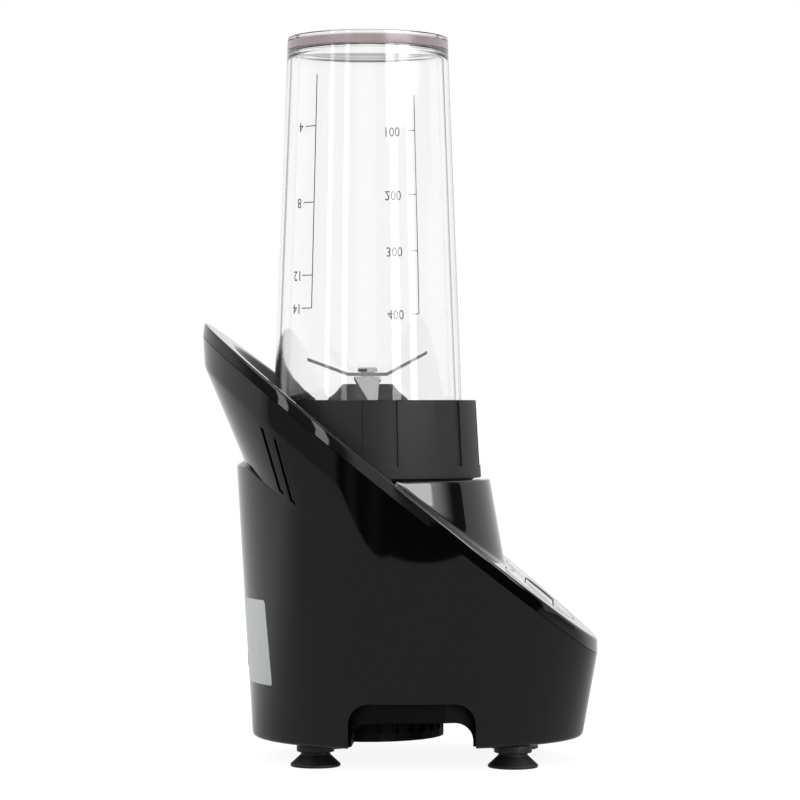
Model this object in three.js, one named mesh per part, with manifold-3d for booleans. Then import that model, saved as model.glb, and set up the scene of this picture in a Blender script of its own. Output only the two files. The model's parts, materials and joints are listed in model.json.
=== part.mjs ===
// A single-serve countertop blender. A clear cup stands upside down in a well on a motor base
// whose oval deck slopes down to the front, where the push button is.
// Millimetres, +Z up, +X to the front. The origin is the middle of the footprint, on the table.
import * as THREE from "three";
import { mergeVertices } from "three/addons/utils/BufferGeometryUtils.js";
import Module from "manifold-3d";

const wasm = await Module();
wasm.setup();

// ---------------------------------------------------------------- driving sizes

// Clearances
const GAP = 0.3; // between pieces that touch or seat on each other
const SLIP = 0.4; // between pieces that slide or turn past each other

// Base housing. Its plan is two half ovals that meet on the line x = 0.
const BASE_Z = 9.7; // bottom edge, which the feet hold off the table
const BASE_FRONT = 79;
const BASE_REAR = 63.8;
const BASE_HALF = 61;
const FRONT_DRAFT = 0.184; // outward lean of the walls, per mm of height
const REAR_DRAFT = 0.0594;
const SIDE_DRAFT = 0.048;
const BASE_WALL = 2.4;
const BASE_EDGE = 2.6; // rounding of the bottom edge
const LEDGE_Z = 126.5; // top of the rear wall, under the overhang
const LEDGE_DEPTH = 3.6;

// Deck and the overhang behind it
const DECK_ANGLE = THREE.MathUtils.degToRad(38.8);
const PARTING_Z = 114; // height of the joint between housing and deck, on the line x = 0
const RIM_DROP = 6.5; // height of the deck's rim, measured straight down
const RIM_ROUND = 2.2;
const DECK_WALL = 2.6;
const WING_SKIRT = 12.5; // upright skirt of the overhang, below the deck's rim
const WING_DROP = 26.5; // from that skirt down to where the overhang meets the rear wall
const WING_WALL = 1.6;

// Air slots under the overhang
const SLOT_ANGLE = THREE.MathUtils.degToRad(126.4); // the foremost slot
const SLOT_PITCH = THREE.MathUtils.degToRad(5.36);
const SLOT_WIDTH = THREE.MathUtils.degToRad(2.5);
const SLOTS_A_SIDE = 2;

// Arches in the sides, bottom cover and feet
const ARCH_X = 7.6;
const ARCH_HALF = 26.5;
const ARCH_TOP = 28.7;
const ARCH_ROUND = 9;
const COVER_Z = 20.5; // underside of the bottom cover, in the channel from arch to arch
const COVER_PLATE = 2.5;
const COVER_SKIRT_TOP = 32.5;
const COVER_FLOOR = 10.3; // underside of the cover beyond the channel
const COVER_STEP = 1.2; // the channel's sides stand in from the arches by this much
const FOOT_REACH = 41.7; // along X, from the middle of the arches
const FOOT_HALF = 35;
const FOOT_PUCK = 8; // radii
const FOOT_LIP = 10.7;
const FOOT_STEM = 3.6;
const FOOT_STEM_LENGTH = 5;

// Cover screws and cord inlet
const POST_RADIUS = 4.6;
const POST_HEIGHT = 18;
const POST_RIB = 12; // length of the rib that ties a post to the wall
const SCREW_RECESS = 18; // depth of the counterbore under a cover screw
const COVER_SCREW = 14; // shank length
const INLET_Z = 42;
const INLET_RADIUS = 5.5;
const INLET_FLANGE = 7.5;
const CORD_BORE = 3.4;

// Filter board
const BOARD_Z = 36;
const BOARD_X = 48;
const BOARD_SIZE = [26, 36, 1.6];
const BOARD_POSTS = [10, 15]; // from the board's middle
const CAPACITOR_Y = -8.5;
const CAPACITOR_SIZE = [18, 9, 12];

// Motor axis and the cup's seat
const AXIS_X = -14;
const WELL_RADIUS = 58;
const WELL_WALL = 1.4;
const SEAT_RIM_Z = 120.6;
const THROAT_Z = SEAT_RIM_Z + 8.4;
const WELL_SHOULDER = SEAT_RIM_Z + 30.9; // below this height the well narrows to its throat
const SEAT_DEPTH = 7.9;
const SEAT_FLOOR = 3;
const NECK_RADIUS = 53;
const NECK_FLARE = 0.2; // outward lean, per mm of height
const NECK_WALL = 2.4;

// Blade unit: a screw collar with the blade carrier in it
const COLLAR_FOOT = 49.2; // radii
const COLLAR_TOP = 47.2;
const COLLAR_HEIGHT = 33.4;
const COLLAR_TOP_Z = SEAT_RIM_Z + GAP + SLIP + COLLAR_HEIGHT;
const COLLAR_RIM_HEIGHT = 4.7;
const COLLAR_STEP = 0.25;
const GRIPS = 9;
const GRIP_WIDTH = THREE.MathUtils.degToRad(18.5);
const GRIP_DEPTH = 0.8;
const SPIGOT_RADIUS = 45.4;
const SPIGOT_WALL = 3;
const CARRIER_Z = SEAT_RIM_Z + 3.9; // underside of the carrier plate
const CARRIER_PLATE = 3.5;
const TOWER_TOP_Z = COLLAR_TOP_Z + 6.9;
const TOWER_TOP = 10.8;
const TOWER_SHOULDER = 17.5;
const TOWER_FOOT = 22;
const TOWER_WALL = 3;

// Cup
const CUP_TOP_Z = 311.6;
const CUP_TOP = 34.75; // outer radii
const CUP_MOUTH = 40.75;
const CUP_WALL = 2.6;
const CUP_BASE = 7.2; // thickness at the rim of the closed end
const CUP_DISH = 3.6;
const CUP_THREAD = 42.6; // crest of the mouth's thread
const CUP_THREAD_TOP = COLLAR_TOP_Z - 6.7;
const CUP_LIP_Z = SEAT_RIM_Z + 10;
const RING_TOP_DROP = 1.2; // from the cup's top down to its foot ring
const RING_HEIGHT = 4;
const RING_DEPTH = 1;

// Blades, shaft and coupling
const SHAFT = 4; // radius of both shafts
const BLADE_BORE_SHAFT = 3;
const BLADE_SPAN = 25.8;
const BLADE_WIDTH = 11;
const BLADE_THICK = 1.4;
const BLADE_HUB = 8.4;
const BLADE_TIP = 0.35; // share of the width left at the tip
const UPPER_LIFT = [0.37, 0.55]; // slopes of the upper blade's two wings
const LOWER_LIFT = [-0.7, -0.75];
const LOWER_SPAN = 22.5;
const BLADE_NUT = [4.8, 2]; // radius and height
const BLADE_Z = TOWER_TOP_Z + 1.8; // underside of the lower blade's hub
const COUPLING_RADIUS = 13;
const COUPLING_HUB = 7;
const COUPLING_TEETH = 6;
const TOOTH_HEIGHT = 4;
const TOOTH_SHARE = 0.38; // of a tooth's pitch
const COUPLING_Z = SEAT_RIM_Z - 13.4; // underside of the motor's half

// Motor
const FAN_Z = 27;
const FAN_RADIUS = 27;
const FAN_HEIGHT = 9;
const FAN_BLADES = 10;
const CAGE_RADIUS = 33;
const CAGE_WALL = 2.4;
const CAGE_SLOTS = 30;
const MOUNT_RADIUS = 36;
const MOUNT_POST = 4.5;
const DAMPER_Z = 38;
const DAMPER_HEIGHT = 4;
const BRACKET_THICK = 4;
const BRACKET_ARM = 9;
const MOTOR_SCREW = 16; // shank length
const STACK_Z = 54;
const STACK_HEIGHT = 30;
const STATOR_RADIUS = 28;
const STATOR_YOKE = 5;
const POLE_HALF = 9;
const POLE_SHOE = 18;
const ROTOR_RADIUS = 14.7;
const AIR_GAP = 0.5;
const ROTOR_SLOTS = 12;
const WINDING_HEIGHT = 6;
const WINDING_RADIUS = 12.5;
const COIL_WIDTH = 4;
const COIL_THICK = 2.4;
const COMMUTATOR_RADIUS = 9;
const COMMUTATOR_HEIGHT = 8;
const COMMUTATOR_BARS = 12;
const BEARING_RADIUS = 8;
const BEARING_HEIGHT = 5;
const BOLT_RADIUS = 1.8;
const BOLT_HEAD = [3.2, 2]; // radius and height
const BOLT_CIRCLE = 25.4;

// Controls, square to the deck
const BUTTON_X = 60.5;
const BUTTON_LENGTH = 15;
const BUTTON_WIDTH = 51;
const BUTTON_THICK = 2.6;
const BUTTON_PROUD = 0.6;
const BUTTON_TRAVEL = 1.6;
const BUTTON_CORNER = 3;
const PANEL_INSET = 6.5;
const PANEL_THICK = 2;
const PANEL_NECK_GAP = 3.5;
const PANEL_REAR_X = 36;
const CAGE_DEPTH = 8; // the button's guide cage, below the deck
const STEM = 5;
const SPRING_STRIP = [6, 0.4]; // width and thickness of the leaf spring
const SPRING_LEG = 5.5; // its reach to each side of the middle, along the slope
const SPRING_Y = 12;
const SWITCH_SIZE = [20, 6.4, 8]; // along the slope, across, deep
const SWITCH_PLATE = 1.5; // its bracket's sheet
const SWITCH_FLANGE = 8;
const PLUNGER = 1.6; // how far it stands out of the switch
const PLUNGER_ROOT = 2; // and how far in it begins

// ---------------------------------------------------------------- materials

const finish = (color, roughness, metalness = 0, extra = {}) =>
  new THREE.MeshStandardMaterial({ color, roughness, metalness, ...extra });
const glossBlack = finish(0x121214, 0.12);
const satinBlack = finish(0x1a1a1c, 0.4);
const rubber = finish(0x161616, 0.75);
const clearPlastic = finish(0xeef2f4, 0.05, 0, { transparent: true, opacity: 0.3 });
const ringPlastic = finish(0x948284, 0.3);
const silicone = finish(0xc9c9c4, 0.6);
const steel = finish(0xb9bbbd, 0.25, 1);
const castMetal = finish(0x8d8f90, 0.55, 0.9);
const laminations = finish(0x6a6c6e, 0.5, 0.8);
const copper = finish(0xa85b2a, 0.35, 0.9);
const brass = finish(0xb08d4a, 0.3, 1);
const carbon = finish(0x232323, 0.7);
const nylon = finish(0xd9d6cc, 0.5);
const circuitBoard = finish(0x2c5a36, 0.5);
const capacitorBlue = finish(0x2b4c7e, 0.4);

// ---------------------------------------------------------------- geometry helpers

const AROUND = 28; // facets around the large forms
const ROUND = 16; // facets around the middle-sized ones
const SMALL = 8; // facets around the small ones
const TURN = 2 * Math.PI;
const FAR = 400; // reach of a cutting block
const SLOPE = Math.tan(DECK_ANGLE);

// A closed geometry as a manifold-3d solid.
function solid(geometry) {
  const bare = geometry.index ? geometry.toNonIndexed() : geometry.clone();
  bare.deleteAttribute("normal");
  bare.deleteAttribute("uv");
  const merged = mergeVertices(bare, 1e-4);
  const corners = merged.index.array;
  const kept = [];
  for (let i = 0; i < corners.length; i += 3) {
    const [a, b, c] = corners.slice(i, i + 3);
    if (a !== b && b !== c && c !== a) kept.push(a, b, c);
  }
  const made = new wasm.Manifold(
    new wasm.Mesh({
      numProp: 3,
      vertProperties: merged.attributes.position.array,
      triVerts: new Uint32Array(kept),
    }),
  );
  return made;
}

// A solid as a geometry again.
function geometryOf(body) {
  const mesh = body.getMesh();
  const flat = new THREE.BufferGeometry();
  flat.setAttribute("position", new THREE.BufferAttribute(mesh.vertProperties, 3));
  flat.setIndex(new THREE.BufferAttribute(mesh.triVerts, 1));
  flat.computeVertexNormals();
  return flat;
}

const join = (first, ...others) => others.reduce((sum, next) => sum.add(next), first);
const cut = (first, ...others) => others.reduce((rest, next) => rest.subtract(next), first);

// A solid through rings of points, listed from the bottom up, each counter-clockwise from above.
function loft(rings) {
  const count = rings[0].length;
  const points = rings.flat();
  const middle = (ring) =>
    ring.reduce((sum, p) => sum.add(p), new THREE.Vector3()).divideScalar(ring.length);
  points.push(middle(rings[0]), middle(rings.at(-1)));
  const faces = [];
  for (let i = 0; i < count; i++) {
    const j = (i + 1) % count;
    for (let r = 0; r + 1 < rings.length; r++) {
      const low = r * count;
      const high = low + count;
      faces.push(low + i, low + j, high + j, low + i, high + j, high + i);
    }
    const top = (rings.length - 1) * count;
    faces.push(points.length - 2, j, i, points.length - 1, top + i, top + j);
  }
  const shape = new THREE.BufferGeometry().setFromPoints(points);
  shape.setIndex(faces);
  return solid(shape);
}

// A solid turned about the Z axis through (x, y), from [radius, z] pairs. The outline is closed
// by itself, and runs counter-clockwise: up on the outside and down on the inside.
function turned(outline, { x = 0, y = 0, facets = ROUND } = {}) {
  const profile = outline.map(([radius, z]) => new THREE.Vector2(Math.max(radius, 0), z));
  profile.push(profile[0].clone());
  const shape = new THREE.LatheGeometry(profile, facets);
  return solid(shape.rotateX(Math.PI / 2).translate(x, y, 0));
}

const disc = (radius, low, high, at = {}) =>
  turned([[0, low], [radius, low], [radius, high], [0, high]], at);
const ring = (inner, outer, low, high, at = {}) =>
  turned([[inner, low], [outer, low], [outer, high], [inner, high]], at);

function block(x, y, z, width, depth, height) {
  const shape = new THREE.BoxGeometry(width, depth, height);
  return solid(shape.translate(x, y, z + height / 2));
}

// A flat outline raised from z = low to z = high.
function raised(outline, low, high, facets = 3) {
  const options = { depth: high - low, bevelEnabled: false, curveSegments: facets };
  return solid(new THREE.ExtrudeGeometry(outline, options).translate(0, 0, low));
}

// An outline in X and Z, run through the body along Y.
function through(outline, half, facets = 4) {
  const options = { depth: 2 * half, bevelEnabled: false, curveSegments: facets };
  const shape = new THREE.ExtrudeGeometry(outline, options).rotateX(Math.PI / 2);
  return solid(shape.translate(0, half, 0));
}

function roundedRectangle(width, height, corner) {
  const [w, h, r] = [width / 2, height / 2, corner];
  const outline = new THREE.Shape().moveTo(r - w, -h).lineTo(w - r, -h);
  outline.absarc(w - r, r - h, r, -Math.PI / 2, 0).lineTo(w, h - r);
  outline.absarc(w - r, h - r, r, 0, Math.PI / 2).lineTo(r - w, h);
  outline.absarc(r - w, h - r, r, Math.PI / 2, Math.PI).lineTo(-w, r - h);
  outline.absarc(r - w, r - h, r, Math.PI, 1.5 * Math.PI);
  return outline;
}

const angles = (count, start = 0) =>
  Array.from({ length: count }, (_, i) => start + (TURN * i) / count);
const onCircle = (radius, angle) => [radius * Math.cos(angle), radius * Math.sin(angle)];

// Turns and moves a solid as a matrix says.
function moved(body, matrix) {
  return solid(geometryOf(body).applyMatrix4(matrix));
}
const spun = (body, angle) => moved(body, new THREE.Matrix4().makeRotationZ(angle));
const shifted = (body, x, y, z) => moved(body, new THREE.Matrix4().makeTranslation(x, y, z));

const part = new THREE.Group();

function add(name, body, material, group = part) {
  const mesh = new THREE.Mesh(geometryOf(body), material);
  mesh.name = name;
  group.add(mesh);
  return mesh;
}

// Everything that turns about or lines up with the motor stands in this group.
const axis = new THREE.Group();
axis.position.x = AXIS_X;
part.add(axis);

// The controls lie square to the deck: in this group +X runs down the slope and +Z stands on it.
const deckZ = (x) => PARTING_Z + RIM_DROP - SLOPE * x;
const controls = new THREE.Group();
controls.position.set(BUTTON_X, 0, deckZ(BUTTON_X));
controls.rotation.y = DECK_ANGLE;
part.add(controls);
controls.updateMatrixWorld(true);
const fromControls = (body) => moved(body, controls.matrixWorld);

// ---------------------------------------------------------------- the base's outer form

// The housing's wall at one angle and height, in from the outside by an inset.
function wallPoint(angle, z, inset) {
  const rise = z - BASE_Z;
  const front = Math.cos(angle) > 0;
  const reach = front ? BASE_FRONT + FRONT_DRAFT * rise : BASE_REAR + REAR_DRAFT * rise;
  const half = BASE_HALF + SIDE_DRAFT * rise;
  return new THREE.Vector3(
    (reach - inset) * Math.cos(angle),
    (half - inset) * Math.sin(angle),
    z,
  );
}

// The same wall on a plane parallel to the deck, a drop below the parting line.
function slantedWallPoint(angle, drop, inset) {
  const front = Math.cos(angle) > 0;
  const [reach, draft] = front ? [BASE_FRONT, FRONT_DRAFT] : [BASE_REAR, REAR_DRAFT];
  const level = PARTING_Z - drop;
  const full = reach + draft * (level - BASE_Z) - inset;
  const x = (Math.cos(angle) * full) / (1 + draft * SLOPE * Math.cos(angle));
  const z = level - SLOPE * x;
  const half = BASE_HALF + SIDE_DRAFT * (z - BASE_Z) - inset;
  return new THREE.Vector3(x, half * Math.sin(angle), z);
}

// The deck reaches as far back as forward, so that the origin stays under its middle.
const DECK_REACH = slantedWallPoint(0, 0, 0).x;
const DECK_HALF = slantedWallPoint(Math.PI / 2, 0, 0).y;

// The deck's outline. Its rim is upright, so it is the same at each drop.
function deckPoint(angle, drop, inset) {
  const front = slantedWallPoint(angle, 0, inset);
  const behind = Math.cos(angle) < 0;
  const x = behind ? (DECK_REACH - inset) * Math.cos(angle) : front.x;
  const y = behind ? (DECK_HALF - inset) * Math.sin(angle) : front.y;
  return new THREE.Vector3(x, y, PARTING_Z - drop - SLOPE * x);
}

// How far towards the back an angle points, from 0 at the sides to 1.
const backward = (angle) => Math.max(0, -Math.cos(angle));

// The wall a little below the deck. At the back it is the overhang's upright skirt.
function skirtPoint(angle, drop, inset) {
  if (backward(angle) === 0) return slantedWallPoint(angle, drop, inset);
  const x = (DECK_REACH - REAR_DRAFT * drop - inset) * Math.cos(angle);
  const y = (DECK_HALF - SIDE_DRAFT * drop - inset) * Math.sin(angle);
  return new THREE.Vector3(x, y, PARTING_Z - drop - SLOPE * x);
}

// Where the rear wall ends, on the overhang's foot line or level with the ledge.
function shoulderPoint(angle, inset, sink) {
  const drop = (WING_SKIRT + WING_DROP) * (1 - 0.5 * Math.max(0, Math.cos(angle)));
  const point = slantedWallPoint(angle, drop + sink, inset);
  return point.z > LEDGE_Z - sink ? wallPoint(angle, LEDGE_Z - sink, inset) : point;
}

// Where the overhang's underside begins. Behind the motor that is in from the wall, by a ledge.
function footPoint(angle, inset) {
  if (backward(angle) === 0) return shoulderPoint(angle, inset, 0);
  const depth = LEDGE_DEPTH * backward(angle) ** 8;
  return slantedWallPoint(angle, WING_SKIRT + WING_DROP, depth + inset);
}

// A share of the way down from the skirt to that foot, on a straight line.
function undersidePoint(angle, share, inset) {
  return skirtPoint(angle, WING_SKIRT, inset).lerp(footPoint(angle, inset), share);
}

// The rings' points: facets at the air slots' pitch round the back, and even steps round the rest.
const slotCount = 1 + 2 * Math.round((Math.PI - SLOT_ANGLE) / SLOT_PITCH);
const slotEdge = Math.PI - (slotCount * SLOT_PITCH) / 2;
const plainSteps = 2 * Math.round(slotEdge / (TURN / AROUND));
const around = [
  ...Array.from({ length: plainSteps }, (_, i) => ((2 * i) / plainSteps - 1) * slotEdge),
  ...Array.from({ length: slotCount }, (_, i) => slotEdge + i * SLOT_PITCH),
];
const ringOf = (point) => around.map(point);

// Everything below a plane parallel to the deck.
function below(drop) {
  const level = PARTING_Z - drop;
  const outline = new THREE.Shape();
  outline.moveTo(-FAR, level + SLOPE * FAR).lineTo(-FAR, -FAR);
  outline.lineTo(FAR, -FAR).lineTo(FAR, level - SLOPE * FAR);
  return through(outline, FAR);
}

// The outside of the housing, in one form from its bottom edge to the deck.
function outerForm() {
  return loft([
    ringOf((a) => wallPoint(a, BASE_Z, 0.55 * BASE_EDGE)),
    ringOf((a) => wallPoint(a, BASE_Z + 0.3 * BASE_EDGE, 0.16 * BASE_EDGE)),
    ringOf((a) => wallPoint(a, BASE_Z + BASE_EDGE, 0)),
    ringOf((a) => shoulderPoint(a, 0, 0)),
    ringOf((a) => footPoint(a, 0)),
    ringOf((a) => skirtPoint(a, WING_SKIRT, 0)),
    ringOf((a) => skirtPoint(a, 0, 0)),
  ]);
}

// Its inside, which is open at both ends. The overhang's wall is thinner, to clear the well.
function innerForm() {
  const wall = (a) => THREE.MathUtils.lerp(BASE_WALL, WING_WALL, backward(a));
  const lowered = (a) => {
    const foot = footPoint(a, wall(a));
    return backward(a) > 0 ? foot.setZ(foot.z - BASE_WALL) : shoulderPoint(a, BASE_WALL, BASE_WALL);
  };
  return loft([
    ringOf((a) => wallPoint(a, 0, BASE_WALL)),
    ringOf((a) => shoulderPoint(a, BASE_WALL, BASE_WALL)),
    ringOf(lowered),
    ringOf((a) => footPoint(a, wall(a))),
    ringOf((a) => skirtPoint(a, WING_SKIRT, wall(a))),
    ringOf((a) => skirtPoint(a, -RIM_DROP, wall(a))),
  ]);
}

// ---------------------------------------------------------------- housing

// One air slot, along the straight line that the underside follows at its angle.
function airSlot(angle) {
  const corner = (turn, share, inset) => undersidePoint(angle + turn, share, inset);
  const half = SLOT_WIDTH / 2;
  const outline = (inset) => [
    corner(-half, 0.9, inset),
    corner(half, 0.9, inset),
    corner(half, 0.12, inset),
    corner(-half, 0.12, inset),
  ];
  return loft([outline(-2 * WING_WALL), outline(2.5 * WING_WALL)].map((r) => r.reverse()));
}

// The channel that runs across the base from arch to arch.
function arch(half, top, corner) {
  const outline = new THREE.Shape();
  const [left, right] = [ARCH_X - half, ARCH_X + half];
  outline.moveTo(left, 0).lineTo(right, 0).lineTo(right, top - corner);
  outline.absarc(right - corner, top - corner, corner, 0, Math.PI / 2);
  outline.lineTo(left + corner, top);
  outline.absarc(left + corner, top - corner, corner, Math.PI / 2, Math.PI);
  return through(outline, FAR, 4);
}

// The cord's inlet stands square to the rear wall. Its parts are made along +Z, and this turns
// them to point out of the wall.
const inletMatrix = new THREE.Matrix4()
  .makeRotationY(-Math.PI / 2 - Math.atan(REAR_DRAFT))
  .setPosition(wallPoint(Math.PI, INLET_Z, 0));

// A block that ends halfway through the housing's wall.
const wallCore = loft([0, FAR / 4].map((z) => ringOf((a) => wallPoint(a, z, BASE_WALL / 2))));

// Posts on the inside of the housing take the cover's screws.
function screwPost([x, y]) {
  const at = { x, y, facets: SMALL };
  const reach = Math.hypot(x, y);
  const rib = block(reach + POST_RIB / 2, 0, postLow, POST_RIB, 2, POST_HEIGHT);
  const post = join(
    disc(POST_RADIUS, postLow, postLow + POST_HEIGHT, at),
    spun(rib, Math.atan2(y, x)),
  );
  return cut(
    post.intersect(wallCore),
    disc(BOLT_RADIUS + GAP, 0, postLow + POST_HEIGHT - 4, at),
  );
}

function mainHousing() {
  const facets = Array.from({ length: slotCount }, (_, i) => slotEdge + (i + 0.5) * SLOT_PITCH);
  const places = [...facets.slice(0, SLOTS_A_SIDE), ...facets.slice(-SLOTS_A_SIDE)];
  const slots = places.map((angle) => airSlot(angle));
  const openArch = arch(ARCH_HALF, ARCH_TOP, ARCH_ROUND);
  const inletHole = moved(disc(INLET_RADIUS, -FAR / 20, FAR / 20, { facets: 12 }), inletMatrix);
  return join(cut(outerForm(), innerForm(), openArch, inletHole, ...slots), ...screwPlaces.map(screwPost));
}

// ---------------------------------------------------------------- deck, well and neck

const wellProfile = [
  [SPIGOT_RADIUS + 4.5, SEAT_RIM_Z - DECK_WALL],
  [COLLAR_FOOT + SLIP + 0.1, SEAT_RIM_Z],
  [COLLAR_FOOT + SLIP + 0.1, THROAT_Z],
  [WELL_RADIUS, WELL_SHOULDER],
  [WELL_RADIUS, FAR / 2],
];

// The well's hollow, or with a wall added the hollow and its wall.
function wellBody(wall) {
  const outer = wellProfile.map(([radius, z]) => [radius + wall, z]);
  const [low, high] = [outer[0][1], outer.at(-1)[1]];
  return turned([[0, low], ...outer, [0, high]], { x: AXIS_X, facets: AROUND });
}

// The neck is a cone around the collar's seat. Only the part in front of the well is seen.
function neckBody(inset) {
  const low = BASE_Z;
  const foot = NECK_RADIUS + NECK_FLARE * (SEAT_RIM_Z - low);
  const outline = [
    [0, low],
    [foot - inset, low],
    [NECK_RADIUS - inset, SEAT_RIM_Z],
    [0, SEAT_RIM_Z],
  ];
  return turned(outline, { x: AXIS_X, facets: AROUND });
}

const seatRadius = SPIGOT_RADIUS + SLIP + 0.2;
const seatFloorZ = SEAT_RIM_Z - SEAT_DEPTH;
const couplingHole = COUPLING_RADIUS + 3;

function seat() {
  const rimZ = SEAT_RIM_Z - DECK_WALL;
  return turned(
    [
      [couplingHole, seatFloorZ - SEAT_FLOOR],
      [seatRadius + NECK_WALL, seatFloorZ - SEAT_FLOOR],
      [seatRadius + NECK_WALL, rimZ],
      [NECK_RADIUS, rimZ],
      [NECK_RADIUS, SEAT_RIM_Z],
      [seatRadius, SEAT_RIM_Z],
      [seatRadius, seatFloorZ],
      [couplingHole, seatFloorZ],
    ],
    { x: AXIS_X, facets: AROUND },
  );
}

// The raised part of the deck's front that the panel lies in, grown by a margin.
function panelBody(top, bottom, grow) {
  const inset = PANEL_INSET - grow;
  const plate = loft([
    ringOf((a) => deckPoint(a, bottom, inset)),
    ringOf((a) => deckPoint(a, top, inset)),
  ]);
  const rear = block((PANEL_REAR_X - grow - FAR) / 2, 0, -FAR, PANEL_REAR_X - grow + FAR, FAR, 2 * FAR);
  return cut(plate, neckBody(grow - PANEL_NECK_GAP), rear);
}

const cagePlan = (grow) =>
  roundedRectangle(
    BUTTON_LENGTH + 2 * (BASE_WALL + grow),
    BUTTON_WIDTH + 2 * (BASE_WALL + grow),
    BUTTON_CORNER + BASE_WALL + grow,
  );

function topCover() {
  const plateTop = -RIM_DROP;
  const shell = loft([
    ringOf((a) => deckPoint(a, -GAP, 0)),
    ringOf((a) => deckPoint(a, plateTop + RIM_ROUND, 0)),
    ringOf((a) => deckPoint(a, plateTop + 0.3 * RIM_ROUND, 0.3 * RIM_ROUND)),
    ringOf((a) => deckPoint(a, plateTop, RIM_ROUND)),
  ]);
  const hollow = loft([
    ringOf((a) => deckPoint(a, RIM_DROP, BASE_WALL)),
    ringOf((a) => deckPoint(a, plateTop + DECK_WALL, BASE_WALL)),
  ]);
  const neckShell = cut(neckBody(0), neckBody(NECK_WALL)).subtract(below(plateTop + DECK_WALL / 2));
  const wellWall = cut(wellBody(WELL_WALL), wellBody(0)).intersect(below(plateTop + DECK_WALL / 2));
  const deck = cut(shell, hollow, wellBody(0), neckBody(NECK_WALL / 2));
  const recess = panelBody(plateTop - RIM_DROP, plateTop + PANEL_THICK + GAP, GAP);
  const cageHole = fromControls(raised(cagePlan(GAP), -2 * CAGE_DEPTH, CAGE_DEPTH));
  return cut(join(deck, neckShell, wellWall, seat()), recess, cageHole);
}

// ---------------------------------------------------------------- controls

const slab = BUTTON_THICK - BUTTON_PROUD; // the button's depth below the deck at rest

function controlPanel() {
  const plate = panelBody(-RIM_DROP, PANEL_THICK - RIM_DROP, 0);
  const cage = cut(
    raised(cagePlan(0), -CAGE_DEPTH, -0.1),
    raised(
      roundedRectangle(BUTTON_LENGTH + 2 * SLIP, BUTTON_WIDTH + 2 * SLIP, BUTTON_CORNER + SLIP),
      BASE_WALL - CAGE_DEPTH,
      CAGE_DEPTH,
    ),
    block(0, 0, -2 * CAGE_DEPTH, STEM + 2 * SLIP, STEM + 2 * SLIP, 2 * CAGE_DEPTH),
  );
  const opening = raised(
    roundedRectangle(BUTTON_LENGTH + 2 * SLIP, BUTTON_WIDTH + 2 * SLIP, BUTTON_CORNER + SLIP),
    -CAGE_DEPTH / 2,
    CAGE_DEPTH,
  );
  return join(cut(plate, fromControls(opening)), fromControls(cage));
}

const stemEnd = -CAGE_DEPTH - BUTTON_TRAVEL - GAP; // the stem's end at rest
const switchTop = stemEnd - GAP - PLUNGER;

function powerButton() {
  const plan = roundedRectangle(BUTTON_LENGTH, BUTTON_WIDTH, BUTTON_CORNER);
  const options = {
    depth: BUTTON_THICK - 0.8,
    bevelEnabled: true,
    bevelThickness: 0.4,
    bevelSize: 0.4,
    bevelOffset: -0.4,
    bevelSegments: 1,
    curveSegments: 2,
  };
  const cap = solid(new THREE.ExtrudeGeometry(plan, options).translate(0, 0, 0.4 - slab));
  return join(cap, block(0, 0, stemEnd, STEM, STEM, -stemEnd - slab / 2));
}

// A leaf spring beside the stem: one leg lies in the guide cage and the other bears on the button.
function buttonSpring() {
  const [width, thick] = SPRING_STRIP;
  const low = BASE_WALL - CAGE_DEPTH + GAP;
  const high = -slab - GAP;
  const outline = new THREE.Shape();
  outline.moveTo(-SPRING_LEG, low).lineTo(SPRING_LEG, low);
  outline.lineTo(SPRING_LEG + 2 * thick, low + 1.5 * thick).lineTo(SPRING_LEG, low + 3 * thick);
  outline.lineTo(thick - SPRING_LEG, high).lineTo(-SPRING_LEG, high).lineTo(-SPRING_LEG, high - thick);
  outline.lineTo(SPRING_LEG - thick, low + 2 * thick).lineTo(SPRING_LEG, low + 1.5 * thick);
  outline.lineTo(SPRING_LEG - thick, low + thick).lineTo(-SPRING_LEG, low + thick);
  return shifted(through(outline, width / 2), 0, SPRING_Y, 0);
}

function microSwitch() {
  const [length, width, depth] = SWITCH_SIZE;
  const body = block(0, 0, switchTop - depth, length, width, depth);
  const deep = PLUNGER_ROOT + BUTTON_TRAVEL + SLIP;
  const bore = block(0, 0, switchTop - deep, 2 + 2 * SLIP, 2 + 2 * SLIP, 2 * deep);
  const terminals = [-1, 0, 1].map((side) => block(side * 7, 0, switchTop - depth - 4, 0.8, 3, 4.2));
  return cut(join(body, ...terminals), bore);
}

const switchPlunger = () =>
  block(0, 0, switchTop - PLUNGER_ROOT, 2, 2, PLUNGER_ROOT + PLUNGER);

// A bent plate on the back of the guide cage carries the switch.
function switchBracket() {
  const [length, width, depth] = SWITCH_SIZE;
  const side = width / 2 + GAP;
  const high = -CAGE_DEPTH - GAP;
  const long = 1.3 * length;
  const low = switchTop - depth;
  const upright = block(0, side + SWITCH_PLATE / 2, low, long, SWITCH_PLATE, high - low);
  const flange = block(0, side + SWITCH_FLANGE / 2, high - SWITCH_PLATE, long, SWITCH_FLANGE, SWITCH_PLATE);
  return join(upright, flange);
}

// ---------------------------------------------------------------- bottom cover and feet

const footPlaces = [
  ["rear_left", -1, -1],
  ["rear_right", -1, 1],
  ["front_left", 1, -1],
  ["front_right", 1, 1],
].map(([name, along, side]) => [name, ARCH_X + along * FOOT_REACH, side * FOOT_HALF]);

const screwPlaces = [0.14, 0.86, 1.14, 1.86].map((share) => {
  const place = wallPoint(share * Math.PI, COVER_FLOOR, BASE_WALL + POST_RADIUS + 1);
  return [place.x, place.y];
});
const postLow = COVER_SKIRT_TOP + GAP;

const boardPlaces = [-1, 1].flatMap((along) =>
  [-1, 1].map((side) => [BOARD_X + along * BOARD_POSTS[0], side * BOARD_POSTS[1]]),
);

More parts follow.
